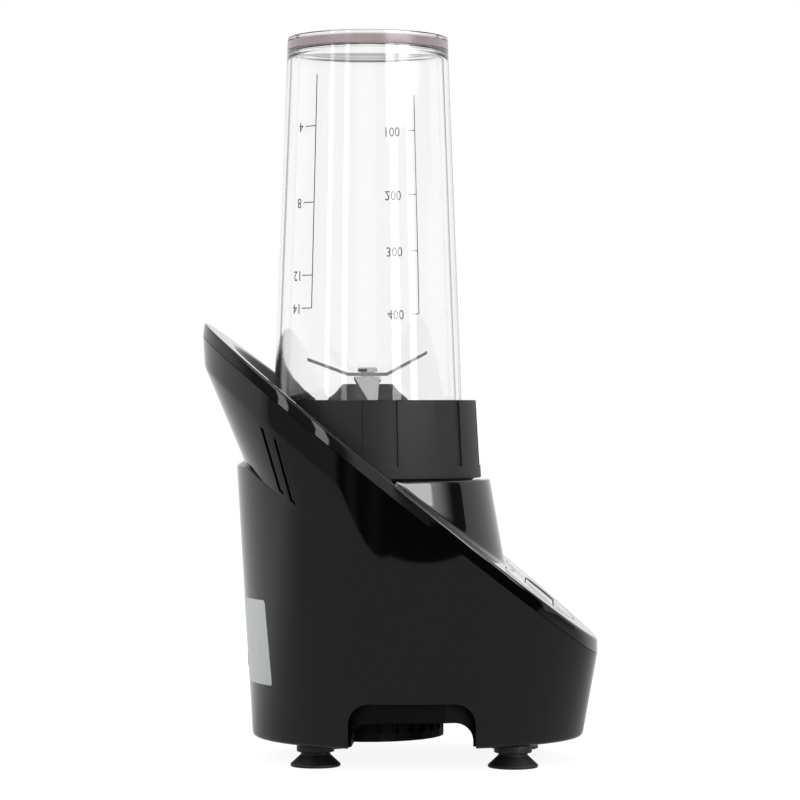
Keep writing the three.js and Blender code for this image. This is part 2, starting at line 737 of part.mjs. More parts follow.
const mountPlaces = angles(4, TURN / 8).map((angle, i) => [i + 1, onCircle(MOUNT_RADIUS, angle)]);
const coverTop = COVER_Z + COVER_PLATE;
const coverInset = BASE_WALL + GAP + 0.1;
const cageFloor = BASE_Z + 0.2;

function ventCage() {
  const inside = CAGE_RADIUS - CAGE_WALL;
  const floorTop = cageFloor + CAGE_WALL;
  const outline = [
    [0, cageFloor],
    [CAGE_RADIUS, cageFloor],
    [CAGE_RADIUS, coverTop],
    [inside, coverTop],
    [inside, floorTop],
    [0, floorTop],
  ];
  const pitch = TURN / CAGE_SLOTS;
  const slot = block(
    CAGE_RADIUS,
    0,
    floorTop + 1.2,
    4 * CAGE_WALL,
    0.45 * pitch * CAGE_RADIUS,
    COVER_Z - floorTop - 1.8,
  );
  const slots = angles(CAGE_SLOTS, pitch / 2).map((angle) => spun(slot, angle));
  return shifted(cut(turned(outline, { facets: CAGE_SLOTS }), ...slots), AXIS_X, 0, 0);
}

// The cover's floor lies low around the feet and is raised in the channel, where the air enters.
function bottomCover() {
  const plan = around.filter((_, i) => i % 2 === 0);
  const outline = (z, inset) => plan.map((a) => wallPoint(a, z, coverInset + inset));
  const half = ARCH_HALF - COVER_STEP;
  const corner = ARCH_ROUND - COVER_STEP;
  const hollow = cut(
    loft([
      outline(COVER_FLOOR + COVER_PLATE, BASE_WALL),
      outline(FAR / 4, BASE_WALL),
    ]),
    arch(half + COVER_PLATE, coverTop, corner + COVER_PLATE),
  );
  const tray = cut(
    loft([outline(COVER_FLOOR, 0), outline(COVER_SKIRT_TOP, 0)]),
    arch(half, COVER_Z, corner),
    hollow,
    disc(CAGE_RADIUS - CAGE_WALL / 2, 0, FAR / 4, { x: AXIS_X, facets: CAGE_SLOTS }),
  );
  const column =
    (radius, low, high, facets = SMALL) =>
    ([x, y]) =>
      disc(radius, low, high, { x, y, facets });
  const mounts = mountPlaces.map(([, [x, y]]) => [AXIS_X + x, y]);
  const feet = footPlaces.map(([, x, y]) => [x, y]);
  const solids = [
    ...feet.map(column(FOOT_PUCK - 0.6, COVER_FLOOR, coverTop)),
    ...mounts.map(column(MOUNT_POST, COVER_Z, DAMPER_Z - GAP)),
    ...screwPlaces.map(column(POST_RADIUS, COVER_FLOOR, COVER_SKIRT_TOP)),
    ...boardPlaces.map(column(2.6, COVER_FLOOR, BOARD_Z - GAP, 6)),
  ];
  const holes = [
    ...feet.map(column(FOOT_STEM + GAP, 0, BASE_Z + FOOT_STEM_LENGTH + 2 * GAP)),
    ...mounts.map(column(BOLT_RADIUS + GAP, lowerBracketTop - MOTOR_SCREW - 1, FAR, 6)),
    ...screwPlaces.map(column(3.6, 0, COVER_FLOOR + SCREW_RECESS)),
    ...screwPlaces.map(column(BOLT_RADIUS + GAP, 0, FAR, 6)),
  ];
  return cut(join(tray, ventCage(), ...solids), ...holes);
}

// A rubber bush in the rear wall, flush outside and flanged inside, with the bore for a cord.
function cordInlet() {
  const neck = INLET_RADIUS - GAP;
  return turned([
    [CORD_BORE, -BASE_WALL - 3],
    [INLET_FLANGE, -BASE_WALL - 3],
    [INLET_FLANGE, -BASE_WALL - 1],
    [neck, -BASE_WALL - 1],
    [neck, -0.5],
    [neck - 0.5, 0],
    [CORD_BORE, 0],
  ], { facets: 12 });
}

// A rubber foot: a puck with a waist and a wide soft lip that grips the table.
function foot() {
  const top = BASE_Z;
  return turned(
    [
      [0, 1.6],
      [0.6 * FOOT_LIP, 1.2],
      [0.75 * FOOT_LIP, 0],
      [0.92 * FOOT_LIP, 0],
      [FOOT_LIP, 0.9],
      [FOOT_PUCK - 0.9, 0.62 * top],
      [FOOT_PUCK, 0.7 * top],
      [FOOT_PUCK, top],
      [FOOT_STEM, top],
      [FOOT_STEM, top + FOOT_STEM_LENGTH],
      [0, top + FOOT_STEM_LENGTH],
    ],
    { facets: 12 },
  );
}

// ---------------------------------------------------------------- motor, still parts

const stackTop = STACK_Z + STACK_HEIGHT;
const rotorBore = ROTOR_RADIUS + AIR_GAP;
const yokeInside = STATOR_RADIUS - STATOR_YOKE;

// A round-cornered plan: the yoke ring with two poles and their shoes.
function statorCore() {
  const stack = { facets: 24 };
  const yoke = ring(yokeInside, STATOR_RADIUS, STACK_Z, stackTop, stack);
  const shoes = ring(rotorBore, POLE_SHOE, STACK_Z, stackTop, stack);
  const poles = block(0, 0, STACK_Z, 2 * STATOR_RADIUS - STATOR_YOKE, 2 * POLE_HALF, STACK_HEIGHT);
  const window = block(0, 0, 0, 1.1 * POLE_SHOE, FAR, FAR);
  const split = cut(shoes, window);
  const bore = disc(rotorBore, 0, FAR / 2, stack);
  const bolts = boltPlaces.map(([, [x, y]]) =>
    disc(BOLT_RADIUS + GAP, 0, FAR / 2, { x, y, facets: SMALL }),
  );
  return cut(join(yoke, split, poles), bore, ...bolts);
}

const boltPlaces = [[1, onCircle(BOLT_CIRCLE, Math.PI / 2)], [2, onCircle(BOLT_CIRCLE, -Math.PI / 2)]];

// A field coil: a flat loop of winding around one pole.
function fieldCoil() {
  const hole = POLE_HALF + GAP;
  const loop = hole + COIL_WIDTH;
  const high = STACK_HEIGHT / 2 + GAP;
  const x = Math.sqrt(yokeInside ** 2 - loop ** 2) - 2 * GAP - COIL_THICK / 2;
  const middle = STACK_Z + STACK_HEIGHT / 2;
  const full = block(x, 0, middle - high - COIL_WIDTH, COIL_THICK, 2 * loop, 2 * (high + COIL_WIDTH));
  return cut(full, block(x, 0, middle - high, 2 * COIL_THICK, 2 * hole, 2 * high));
}

const lowerBracketZ = DAMPER_Z + DAMPER_HEIGHT + GAP;
const lowerBracketTop = lowerBracketZ + BRACKET_THICK;
const upperBracketZ = stackTop + GAP + COIL_WIDTH + WINDING_HEIGHT + COMMUTATOR_HEIGHT;
const upperBracketTop = upperBracketZ + BRACKET_THICK;

// A cast spider: a hub with a bearing pocket, four arms and a pair of pillars to the stack.
function bracket(low, high, pocketLow, pillars, arms) {
  const hub = disc(BEARING_RADIUS + 4, Math.min(low, pocketLow - 1.5), high, {});
  const spokes = arms.map(([, [x, y]]) => {
    const length = Math.hypot(x, y);
    const arm = block(length / 2, 0, low, length, BRACKET_ARM, high - low);
    const ear = disc(5, low, high, { x: length, facets: SMALL });
    return spun(join(arm, ear), Math.atan2(y, x));
  });
  const posts = boltPlaces.flatMap(([, [x, y]]) => [
    disc(4, pillars[0], pillars[1], { x, y, facets: SMALL }),
    block(0, y / 2, low, BRACKET_ARM, Math.abs(y), high - low),
  ]);
  const pocket = disc(BEARING_RADIUS + GAP, pocketLow, pocketLow + BEARING_HEIGHT + FAR, {});
  const bore = disc(SHAFT + 2, 0, FAR / 2, { facets: SMALL });
  const holes = [...arms, ...boltPlaces].map(([, [x, y]]) =>
    disc(BOLT_RADIUS + GAP, 0, FAR / 2, { x, y, facets: 6 }),
  );
  return cut(join(hub, ...spokes, ...posts), pocket, bore, ...holes);
}

const lowerPocketZ = lowerBracketTop - BEARING_HEIGHT;
const upperPocketZ = upperBracketTop - BEARING_HEIGHT;

const bearing = (low) =>
  ring(SHAFT + GAP, BEARING_RADIUS, low, low + BEARING_HEIGHT, { facets: 12 });

// A cheese-head screw whose head rests on z = seatZ, pointing down.
function screw(seatZ, length, x, y) {
  const at = { x, y, facets: 6 };
  const [head, height] = BOLT_HEAD;
  const shank = disc(BOLT_RADIUS, seatZ - length, seatZ + height / 2, at);
  const slot = block(x, y, seatZ + 0.6 * height, 3 * head, 0.8, height);
  return cut(join(shank, disc(head, seatZ, seatZ + height, at)), slot);
}

const commutatorZ = stackTop + GAP + WINDING_HEIGHT + GAP;
const brushZ = commutatorZ + COMMUTATOR_HEIGHT / 2;
const BRUSH_WIDTH = 4;
const BRUSH_HEIGHT = 5;
const BRUSH_LENGTH = 10;
const HOLDER_WALL = 1.2;

// One brush, and the brass box that guides it to the commutator, both along +Y.
function carbonBrush() {
  const start = COMMUTATOR_RADIUS + GAP;
  const low = brushZ - BRUSH_HEIGHT / 2;
  return block(0, start + BRUSH_LENGTH / 2, low, BRUSH_WIDTH, BRUSH_LENGTH, BRUSH_HEIGHT);
}

function brushHolder() {
  const [start, length] = [COMMUTATOR_RADIUS + 2.5, BRUSH_LENGTH - 0.6];
  const outer = [BRUSH_WIDTH, BRUSH_HEIGHT].map((size) => size + 2 * (GAP + HOLDER_WALL));
  const top = upperBracketZ - GAP;
  const tube = cut(
    block(0, start + length / 2, brushZ - outer[1] / 2, outer[0], length, outer[1]),
    block(
      0,
      start + length / 2 - HOLDER_WALL,
      brushZ - BRUSH_HEIGHT / 2 - GAP,
      BRUSH_WIDTH + 2 * GAP,
      length,
      BRUSH_HEIGHT + 2 * GAP,
    ),
  );
  const lugLow = brushZ + outer[1] / 2 - 0.1;
  const lug = block(0, start + length / 2, lugLow, outer[0], 5, top - lugLow);
  return join(tube, lug);
}

// ---------------------------------------------------------------- motor, turning parts

const shaftLow = FAN_Z - 2;
const driveTop = COUPLING_Z + COUPLING_HUB;

function motorShaft() {
  const body = disc(SHAFT, shaftLow, driveTop - 1, { facets: 12 });
  return cut(body, block(0, SHAFT, COUPLING_Z + 1, 2 * SHAFT, 1.6, FAR));
}

function armatureCore() {
  const body = ring(SHAFT + GAP, ROTOR_RADIUS, STACK_Z, stackTop, { facets: 24 });
  const slots = angles(ROTOR_SLOTS).map((angle) =>
    spun(block(ROTOR_RADIUS, 0, STACK_Z - 1, 7, 1.8, STACK_HEIGHT + 2), angle),
  );
  return cut(body, ...slots);
}

// The end turns of the armature winding: a full round ring at each end of the core.
function endWinding(low) {
  const [inner, outer] = [SHAFT + 1.5, WINDING_RADIUS];
  const high = low + WINDING_HEIGHT;
  return turned(
    [
      [inner, low],
      [outer - 1, low],
      [outer, low + 2],
      [outer - 1, high - 1.5],
      [outer - 3, high],
      [inner, high],
    ],
    { facets: 12 },
  );
}

function commutator() {
  const body = ring(SHAFT + GAP, COMMUTATOR_RADIUS, commutatorZ, commutatorZ + COMMUTATOR_HEIGHT);
  const slots = angles(COMMUTATOR_BARS, TURN / COMMUTATOR_BARS / 2).map((angle) =>
    spun(block(COMMUTATOR_RADIUS, 0, commutatorZ - 1, 2, 0.7, COMMUTATOR_HEIGHT + 2), angle),
  );
  return cut(body, ...slots);
}

// A radial fan: a back plate, a hub and curved vanes that throw the air out to the cage.
function coolingFan() {
  const plate = ring(SHAFT + GAP, FAN_RADIUS, FAN_Z + FAN_HEIGHT - 1.5, FAN_Z + FAN_HEIGHT, { facets: 24 });
  const hub = ring(SHAFT + GAP, SHAFT + 4, FAN_Z, FAN_Z + FAN_HEIGHT, {});
  const vane = raised(vanePlan(), FAN_Z, FAN_Z + FAN_HEIGHT - 1, 2);
  return join(plate, hub, ...angles(FAN_BLADES).map((angle) => spun(vane, angle)));
}

function vanePlan() {
  const [inner, outer, thick] = [12, FAN_RADIUS - 0.4, 1.4];
  const reach = outer - inner;
  const plan = new THREE.Shape().moveTo(inner, 0);
  plan.quadraticCurveTo(inner + 0.6 * reach, 0, outer - 0.2 * reach, 0.4 * reach);
  plan.lineTo(outer - 0.2 * reach - thick, 0.4 * reach + thick);
  plan.quadraticCurveTo(inner + 0.5 * reach, thick, inner, thick);
  return plan;
}

// Half of the dog coupling: a hub whose teeth stand on its face.
function couplingTeeth(faceZ, up, start) {
  const inner = SHAFT + 4;
  const width = (TURN / COUPLING_TEETH) * TOOTH_SHARE;
  const corners = [
    onCircle(inner, -width / 2),
    onCircle(COUPLING_RADIUS, -width / 2),
    onCircle(COUPLING_RADIUS, width / 2),
    onCircle(inner, width / 2),
  ];
  const plan = new THREE.Shape(corners.map(([x, y]) => new THREE.Vector2(x, y)));
  const low = up ? faceZ - 0.1 : faceZ - TOOTH_HEIGHT;
  const tooth = raised(plan, low, low + TOOTH_HEIGHT + 0.1);
  return angles(COUPLING_TEETH, start).map((angle) => spun(tooth, angle));
}

function driveCoupling() {
  const hub = disc(COUPLING_RADIUS, COUPLING_Z, driveTop, {});
  const bore = disc(SHAFT + GAP, 0, driveTop - 1 + GAP, { facets: 12 });
  return cut(join(hub, ...couplingTeeth(driveTop, true, 0)), bore);
}

const drivenFace = driveTop + TOOTH_HEIGHT + GAP;
const drivenTop = CARRIER_Z - GAP - 1;

function drivenCoupling() {
  const hub = disc(COUPLING_RADIUS, drivenFace, drivenTop, {});
  const half = TURN / COUPLING_TEETH / 2;
  const bore = disc(SHAFT + GAP, drivenFace + 1.5, FAR, { facets: 12 });
  return cut(join(hub, ...couplingTeeth(drivenFace, false, half)), bore);
}

// ---------------------------------------------------------------- blade unit

const bushRadius = SHAFT + 2.5;
const carrierTop = CARRIER_Z + CARRIER_PLATE;
const tubeRadius = bushRadius + TOWER_WALL + 1;
const collarBottom = SEAT_RIM_Z + GAP + SLIP;
const stepZ = collarBottom + COLLAR_RIM_HEIGHT;
const collarInside = CUP_THREAD + SLIP;
const collarAt = (z) =>
  THREE.MathUtils.mapLinear(z, stepZ, COLLAR_TOP_Z, COLLAR_FOOT - COLLAR_STEP, COLLAR_TOP);

// Collar, carrier plate, tower and spigot are one moulding.
function bladeCollar() {
  const spigotInside = SPIGOT_RADIUS - SPIGOT_WALL;
  const collar = turned(
    [
      [SPIGOT_RADIUS, seatFloorZ + GAP],
      [SPIGOT_RADIUS, collarBottom],
      [COLLAR_FOOT, collarBottom],
      [COLLAR_FOOT, stepZ],
      [COLLAR_FOOT - COLLAR_STEP, stepZ + COLLAR_STEP],
      [COLLAR_TOP, COLLAR_TOP_Z - 0.5],
      [COLLAR_TOP - 0.5, COLLAR_TOP_Z],
      [collarInside + 1, COLLAR_TOP_Z],
      [collarInside, COLLAR_TOP_Z - 1.5],
      [collarInside, carrierTop],
      [0, carrierTop],
      [0, CARRIER_Z],
      [spigotInside, CARRIER_Z],
      [spigotInside, seatFloorZ + GAP],
    ],
    { facets: AROUND },
  );
  const pockets = angles(GRIPS, GRIP_START).map((angle) => spun(gripPocket(), angle));
  return join(cut(collar, ...pockets, disc(TOWER_FOOT - 0.1, 0, FAR)), carrierTower());
}

// The tower is hollow below, around the tube that holds the bush.
function carrierTower() {
  const shoulderZ = COLLAR_TOP_Z + 0.4;
  return turned([
    [tubeRadius, CARRIER_Z],
    [tubeRadius, shoulderZ - 4],
    [TOWER_SHOULDER - TOWER_WALL, shoulderZ - 4],
    [TOWER_FOOT - TOWER_WALL, CARRIER_Z],
    [TOWER_FOOT, CARRIER_Z],
    [TOWER_FOOT, carrierTop],
    [TOWER_SHOULDER, shoulderZ],
    [TOWER_SHOULDER - 2.7, shoulderZ + 2],
    [TOWER_TOP, TOWER_TOP_Z],
    [bushRadius + GAP, TOWER_TOP_Z],
    [bushRadius + GAP, CARRIER_Z],
  ]);
}

// Centred on the side that faces straight across the front, one pocket is cut at each pitch.
const GRIP_START = -Math.PI / 2 + GRIP_WIDTH / 2;

function gripPocket() {
  const plan = (radius, depth) =>
    [-1, 0, 1].map((side) => onCircle(radius - depth, (side * GRIP_WIDTH) / 2));
  const level = (z) => {
    const inside = plan(collarAt(z), GRIP_DEPTH);
    const outside = plan(collarAt(z), -2).reverse();
    return [...outside, ...inside].map(([x, y]) => new THREE.Vector3(x, y, z)).reverse();
  };
  return loft([level(stepZ + COLLAR_STEP + 0.2), level(COLLAR_TOP_Z + 2)]);
}

function sealingGasket() {
  const low = carrierTop + GAP;
  return ring(CUP_THREAD - 4.2, CUP_THREAD, low, CUP_LIP_Z - GAP, { facets: 24 });
}

const bladeTop = BLADE_Z + 2 * BLADE_THICK + GAP;
const shoulderTop = BLADE_Z - GAP;

function bearingBush() {
  return ring(SHAFT + GAP, bushRadius, carrierTop, TOWER_TOP_Z - 3, { facets: 12 });
}

function shaftSeal() {
  return ring(SHAFT + GAP, bushRadius, TOWER_TOP_Z - 3 + GAP, TOWER_TOP_Z - 0.2, { facets: 12 });
}

function bladeShaft() {
  return turned(
    [
      [0, drivenFace + 1.5 + GAP],
      [SHAFT, drivenFace + 1.5 + GAP],
      [SHAFT, shoulderTop],
      [BLADE_BORE_SHAFT, shoulderTop],
      [BLADE_BORE_SHAFT, bladeTop + GAP + BLADE_NUT[1]],
      [0, bladeTop + GAP + BLADE_NUT[1]],
    ],
    { facets: 12 },
  );
}

// A blade: a flat hub with two wings bent up or down, each narrowing to its tip.
function blade(low, span, [rearLift, frontLift]) {
  const half = BLADE_WIDTH / 2;
  const tip = BLADE_WIDTH * BLADE_TIP;
  const section = (x, left, right, z) => [
    new THREE.Vector3(x, left, z),
    new THREE.Vector3(x, right, z),
    new THREE.Vector3(x, right, z + BLADE_THICK),
    new THREE.Vector3(x, left, z + BLADE_THICK),
  ];
  const plate = loft([
    section(-span, -half, tip - half, low + rearLift * (span - BLADE_HUB)),
    section(-BLADE_HUB, -half, half, low),
    section(BLADE_HUB, -half, half, low),
    section(span, half - tip, half, low + frontLift * (span - BLADE_HUB)),
  ]);
  return cut(plate, disc(BLADE_BORE_SHAFT + GAP, 0, FAR, { facets: SMALL }));
}

function bladeNut() {
  const low = bladeTop + GAP;
  const [radius, height] = BLADE_NUT;
  const top = low + height;
  const hexagon = turned(
    [[0, low], [radius, low], [radius, top - 0.6], [radius - 0.6, top], [0, top]],
    { facets: 6 },
  );
  return cut(hexagon, disc(BLADE_BORE_SHAFT + GAP, 0, FAR, { facets: SMALL }));
}

// ---------------------------------------------------------------- cup

const cupRadius = (z) => THREE.MathUtils.mapLinear(z, CUP_TOP_Z, COLLAR_TOP_Z, CUP_TOP, CUP_MOUTH);
const ringTop = CUP_TOP_Z - RING_TOP_DROP;
const ringLow = ringTop - RING_HEIGHT;

function cupTumbler() {
  const inside = CUP_TOP_Z - CUP_BASE;
  const groove = (z) => cupRadius(z) - RING_DEPTH - GAP;
  return turned(
    [
      [0, inside],
      [cupRadius(inside) - CUP_WALL - 4, inside],
      [cupRadius(inside) - CUP_WALL - 1, inside - 1.2],
      [cupRadius(inside) - CUP_WALL, inside - 4],
      [cupRadius(COLLAR_TOP_Z) - CUP_WALL, COLLAR_TOP_Z],
      [CUP_THREAD - CUP_WALL - 1.5, CUP_LIP_Z],
      [CUP_THREAD, CUP_LIP_Z],
      [CUP_THREAD, CUP_THREAD_TOP],
      [CUP_MOUTH, CUP_THREAD_TOP + 3],
      [CUP_MOUTH, COLLAR_TOP_Z],
      [cupRadius(ringLow), ringLow - GAP],
      [groove(ringLow), ringLow - GAP],
      [groove(ringTop), ringTop + GAP],
      [cupRadius(ringTop), ringTop + GAP],
      [CUP_TOP - 0.7, CUP_TOP_Z],
      [CUP_TOP - 3.2, CUP_TOP_Z],
      [CUP_TOP - 5, CUP_TOP_Z - CUP_DISH],
      [0, CUP_TOP_Z - CUP_DISH],
    ],
    { facets: AROUND },
  );
}

function cupFootRing() {
  return turned(
    [
      [cupRadius(ringLow) - RING_DEPTH, ringLow],
      [cupRadius(ringLow), ringLow],
      [cupRadius(ringTop), ringTop],
      [cupRadius(ringTop) - RING_DEPTH, ringTop],
    ],
    { facets: AROUND },
  );
}

// ---------------------------------------------------------------- assembly

add("main_housing", mainHousing(), glossBlack);
add("top_cover", topCover(), glossBlack);
add("control_panel", controlPanel(), glossBlack);
add("bottom_cover", bottomCover(), satinBlack);
add("power_button", powerButton(), glossBlack, controls);
add("button_spring", buttonSpring(), steel, controls);
add("micro_switch", microSwitch(), satinBlack, controls);
add("switch_plunger", switchPlunger(), nylon, controls);
add("switch_bracket", switchBracket(), steel, controls);

for (const [name, x, y] of footPlaces) {
  add("foot_" + name, foot(), rubber).position.set(x, y, 0);
}

for (const [number, [x, y]] of mountPlaces) {
  const inner = BOLT_RADIUS + GAP;
  const damper = ring(inner, MOUNT_POST, DAMPER_Z, DAMPER_Z + DAMPER_HEIGHT, { facets: SMALL });
  add("motor_damper_" + number, damper, rubber, axis).position.set(x, y, 0);
  const motorScrew = screw(lowerBracketTop + GAP, MOTOR_SCREW, 0, 0);
  add("motor_screw_" + number, motorScrew, steel, axis).position.set(x, y, 0);
}

for (const [i, [x, y]] of screwPlaces.entries()) {
  const mesh = add("cover_screw_" + (i + 1), screw(0, COVER_SCREW, 0, 0), steel);
  mesh.position.set(x, y, COVER_FLOOR + SCREW_RECESS - GAP);
  mesh.rotation.x = Math.PI;
}

add("control_board", block(BOARD_X, 0, BOARD_Z, ...BOARD_SIZE), circuitBoard);
const capacitorZ = BOARD_Z + BOARD_SIZE[2] + GAP;
add("filter_capacitor", block(BOARD_X, CAPACITOR_Y, capacitorZ, ...CAPACITOR_SIZE), capacitorBlue);
add("cord_inlet", moved(cordInlet(), inletMatrix), rubber);

const lowerPillars = [lowerBracketZ, STACK_Z - GAP];
const upperPillars = [stackTop + GAP, upperBracketTop];
add(
  "lower_motor_bracket",
  bracket(lowerBracketZ, lowerBracketTop, lowerPocketZ, lowerPillars, mountPlaces),
  castMetal,
  axis,
);
add(
  "upper_motor_bracket",
  bracket(upperBracketZ, upperBracketTop, upperPocketZ, upperPillars, []),
  castMetal,
  axis,
);
add("lower_bearing", bearing(lowerPocketZ + GAP), steel, axis);
add("upper_bearing", bearing(upperPocketZ + GAP), steel, axis);
add("stator_core", statorCore(), laminations, axis);
for (const [number, [x, y]] of boltPlaces) {
  const length = upperBracketTop - lowerBracketZ;
  add("motor_bolt_" + number, screw(upperBracketTop + GAP, length, x, y), steel, axis);
}
for (const [name, turn] of [["front", 0], ["rear", Math.PI]]) {
  add("field_coil_" + name, spun(fieldCoil(), turn), copper, axis);
}
for (const [name, turn] of [["left", 0], ["right", Math.PI]]) {
  add("carbon_brush_" + name, spun(carbonBrush(), turn), carbon, axis);
  add("brush_holder_" + name, spun(brushHolder(), turn), brass, axis);
}

add("motor_shaft", motorShaft(), steel, axis);
add("armature_core", armatureCore(), laminations, axis);
add("armature_winding_lower", endWinding(STACK_Z - GAP - WINDING_HEIGHT), copper, axis);
add("armature_winding_upper", endWinding(stackTop + GAP), copper, axis);
add("commutator", commutator(), copper, axis);
add("cooling_fan", coolingFan(), satinBlack, axis);
add("drive_coupling", driveCoupling(), nylon, axis);

add("driven_coupling", drivenCoupling(), nylon, axis);
add("blade_shaft", bladeShaft(), steel, axis);
add("lower_blade", spun(blade(BLADE_Z, LOWER_SPAN, LOWER_LIFT), -Math.PI / 2), steel, axis);
add("upper_blade", blade(BLADE_Z + BLADE_THICK + GAP, BLADE_SPAN, UPPER_LIFT), steel, axis);
add("blade_nut", bladeNut(), steel, axis);
add("blade_collar", bladeCollar(), satinBlack, axis);
add("bearing_bush", bearingBush(), brass, axis);
add("shaft_seal", shaftSeal(), silicone, axis);
add("sealing_gasket", sealingGasket(), silicone, axis);
add("cup_tumbler", cupTumbler(), clearPlastic, axis);
add("cup_foot_ring", cupFootRing(), ringPlastic, axis);

export default part;
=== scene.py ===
# A single-serve countertop blender: a clear cup stands upside down on a gloss black motor base.
import json
import math
import bpy
import numpy as np
from mathutils import Matrix, Vector


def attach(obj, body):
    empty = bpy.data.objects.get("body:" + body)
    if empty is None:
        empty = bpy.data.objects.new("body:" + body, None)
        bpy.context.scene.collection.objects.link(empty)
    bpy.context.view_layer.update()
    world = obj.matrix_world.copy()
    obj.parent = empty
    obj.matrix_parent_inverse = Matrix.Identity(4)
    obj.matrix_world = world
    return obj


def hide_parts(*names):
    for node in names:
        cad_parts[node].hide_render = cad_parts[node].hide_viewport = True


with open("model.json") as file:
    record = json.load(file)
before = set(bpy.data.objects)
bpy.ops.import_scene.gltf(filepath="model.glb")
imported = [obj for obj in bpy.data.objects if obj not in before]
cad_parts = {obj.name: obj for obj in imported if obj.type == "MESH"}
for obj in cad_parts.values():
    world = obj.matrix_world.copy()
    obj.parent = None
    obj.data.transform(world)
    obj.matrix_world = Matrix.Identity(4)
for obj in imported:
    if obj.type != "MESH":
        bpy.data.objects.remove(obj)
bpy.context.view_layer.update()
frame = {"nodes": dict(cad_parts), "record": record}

# ---------------------------------------------------------------- studio
# A camera level with the middle of the blender, a white floor and a white tent around it all. The
# tent is open and dark behind the camera, and holds the soft boxes and strip lamps that the gloss
# black mirrors. Two dark flags behind the blender draw the edges of the clear cup.
MM = 0.001
CAMERA_DISTANCE, CAMERA_HEIGHT = 1.302, 0.1547
CAMERA_YAW = math.radians(2.67)
CAMERA_LENS, CAMERA_SENSOR = 135, 36
LAMP_AIM = Vector((0, 0, 0.15))
FLOOR_FRONT, FLOOR_SIZE = -0.62, 6.0
FLOOR_TURN = math.radians(19)
WHITE = (1, 1, 1, 1)


class Value:
    """A socket of a node tree that can be added, multiplied and so on."""

    def __init__(self, tree, socket):
        self.tree, self.socket = tree, socket

    def calc(self, operation, *terms):
        node = self.tree.nodes.new("ShaderNodeMath")
        node.operation = operation
        for slot, term in zip(node.inputs, terms):
            if isinstance(term, Value):
                self.tree.links.new(term.socket, slot)
            else:
                slot.default_value = term
        return Value(self.tree, node.outputs[0])

    def __add__(self, other):
        return self.calc("ADD", self, other)

    def __radd__(self, other):
        return self.calc("ADD", other, self)

    def __sub__(self, other):
        return self.calc("SUBTRACT", self, other)

    def __rsub__(self, other):
        return self.calc("SUBTRACT", other, self)

    def __mul__(self, other):
        return self.calc("MULTIPLY", self, other)

    def __rmul__(self, other):
        return self.calc("MULTIPLY", other, self)

    def __truediv__(self, other):
        return self.calc("DIVIDE", self, other)

    def __rtruediv__(self, other):
        return self.calc("DIVIDE", other, self)

    def __pow__(self, other):
        return self.calc("POWER", self, other)

    def __gt__(self, other):
        return self.calc("GREATER_THAN", self, other)

    def __lt__(self, other):
        return self.calc("LESS_THAN", self, other)

    def ramp(self, low, high):
        """0 below low, 1 above high, and a smooth rise between them."""
        node = self.tree.nodes.new("ShaderNodeMapRange")
        node.interpolation_type = "SMOOTHSTEP"
        self.tree.links.new(self.socket, node.inputs["Value"])
        node.inputs["From Min"].default_value = low
        node.inputs["From Max"].default_value = high
        return Value(self.tree, node.outputs["Result"])


class Finish:
    """A material or world under construction."""

    def __init__(self, data):
        self.data = data
        data.use_nodes = True
        self.tree = data.node_tree
        self.tree.nodes.clear()

    def node(self, kind, sockets, settings=(), output=0):
        """A node of a kind, with its settings made first, and the values or links of its sockets."""
        node = self.tree.nodes.new("ShaderNode" + kind)
        for key, setting in dict(settings).items():
            setattr(node, key, setting)
        for key, value in sockets.items():
            if isinstance(value, Value):
                self.tree.links.new(value.socket, node.inputs[key])
            else:
                node.inputs[key].default_value = value
        return Value(self.tree, node.outputs[output])

    def close(self, surface, kind="OutputMaterial"):
        node = self.tree.nodes.new("ShaderNode" + kind)
        self.tree.links.new(surface.socket, node.inputs["Surface"])
        return self.data


scene = bpy.context.scene
scene.view_settings.view_transform = "Standard"

camera = bpy.data.objects.new("camera", bpy.data.cameras.new("camera"))
scene.collection.objects.link(camera)
scene.camera = camera
camera.data.lens, camera.data.sensor_width = CAMERA_LENS, CAMERA_SENSOR
camera.location = (
    CAMERA_DISTANCE * math.sin(CAMERA_YAW),
    -CAMERA_DISTANCE * math.cos(CAMERA_YAW),
    CAMERA_HEIGHT,
)
camera.rotation_euler = (math.pi / 2, 0, CAMERA_YAW)

tent = Finish(bpy.data.worlds.new("tent"))
scene.world = tent.data
direction = tent.node("TexCoord", {}, output="Generated")
right, back, height = (tent.node("SeparateXYZ", {"Vector": direction}, output=axis) for axis in "XYZ")
bearing = right.calc("ARCTAN2", right, 0 - back)


def strip(low, high, soft=0.04):
    """1 between two bearings, in radians to the right of the camera, and 0 elsewhere."""
    return bearing.ramp(low - soft, low + soft) * (1 - bearing.ramp(high - soft, high + soft))


def band(low, high):
    """1 above a low edge and under a high edge, each given by the two heights it fades between."""
    return height.ramp(*low) * (1 - height.ramp(*high))


# The opening: nearly black behind the camera, with a faint haze, and half dark to its left
haze = 0.1 * strip(-0.5, -0.42) + 0.07 * strip(-0.3, -0.24, 0.06)
below = 1 - height.ramp(0.03, 0.07)
opening = (strip(-0.58, 1.36, 0.03) * (0.985 - haze) + 0.72 * strip(-1.2, -0.58, 0.03)) * below
# The tent's cloth above it is grey, but for its middle, and there is a dark corner to the right
middle = 0.8 * strip(-0.2, 0.24, 0.08)
grey_cloth = strip(-1.45, 1.45, 0.25) * band((0.03, 0.07), (0.26, 0.33)) * (0.8 - middle)
corner = 0.9 * bearing.ramp(1.15, 1.7) * (bearing < 1.76) * band((0.13, 0.17), (0.5, 0.6))
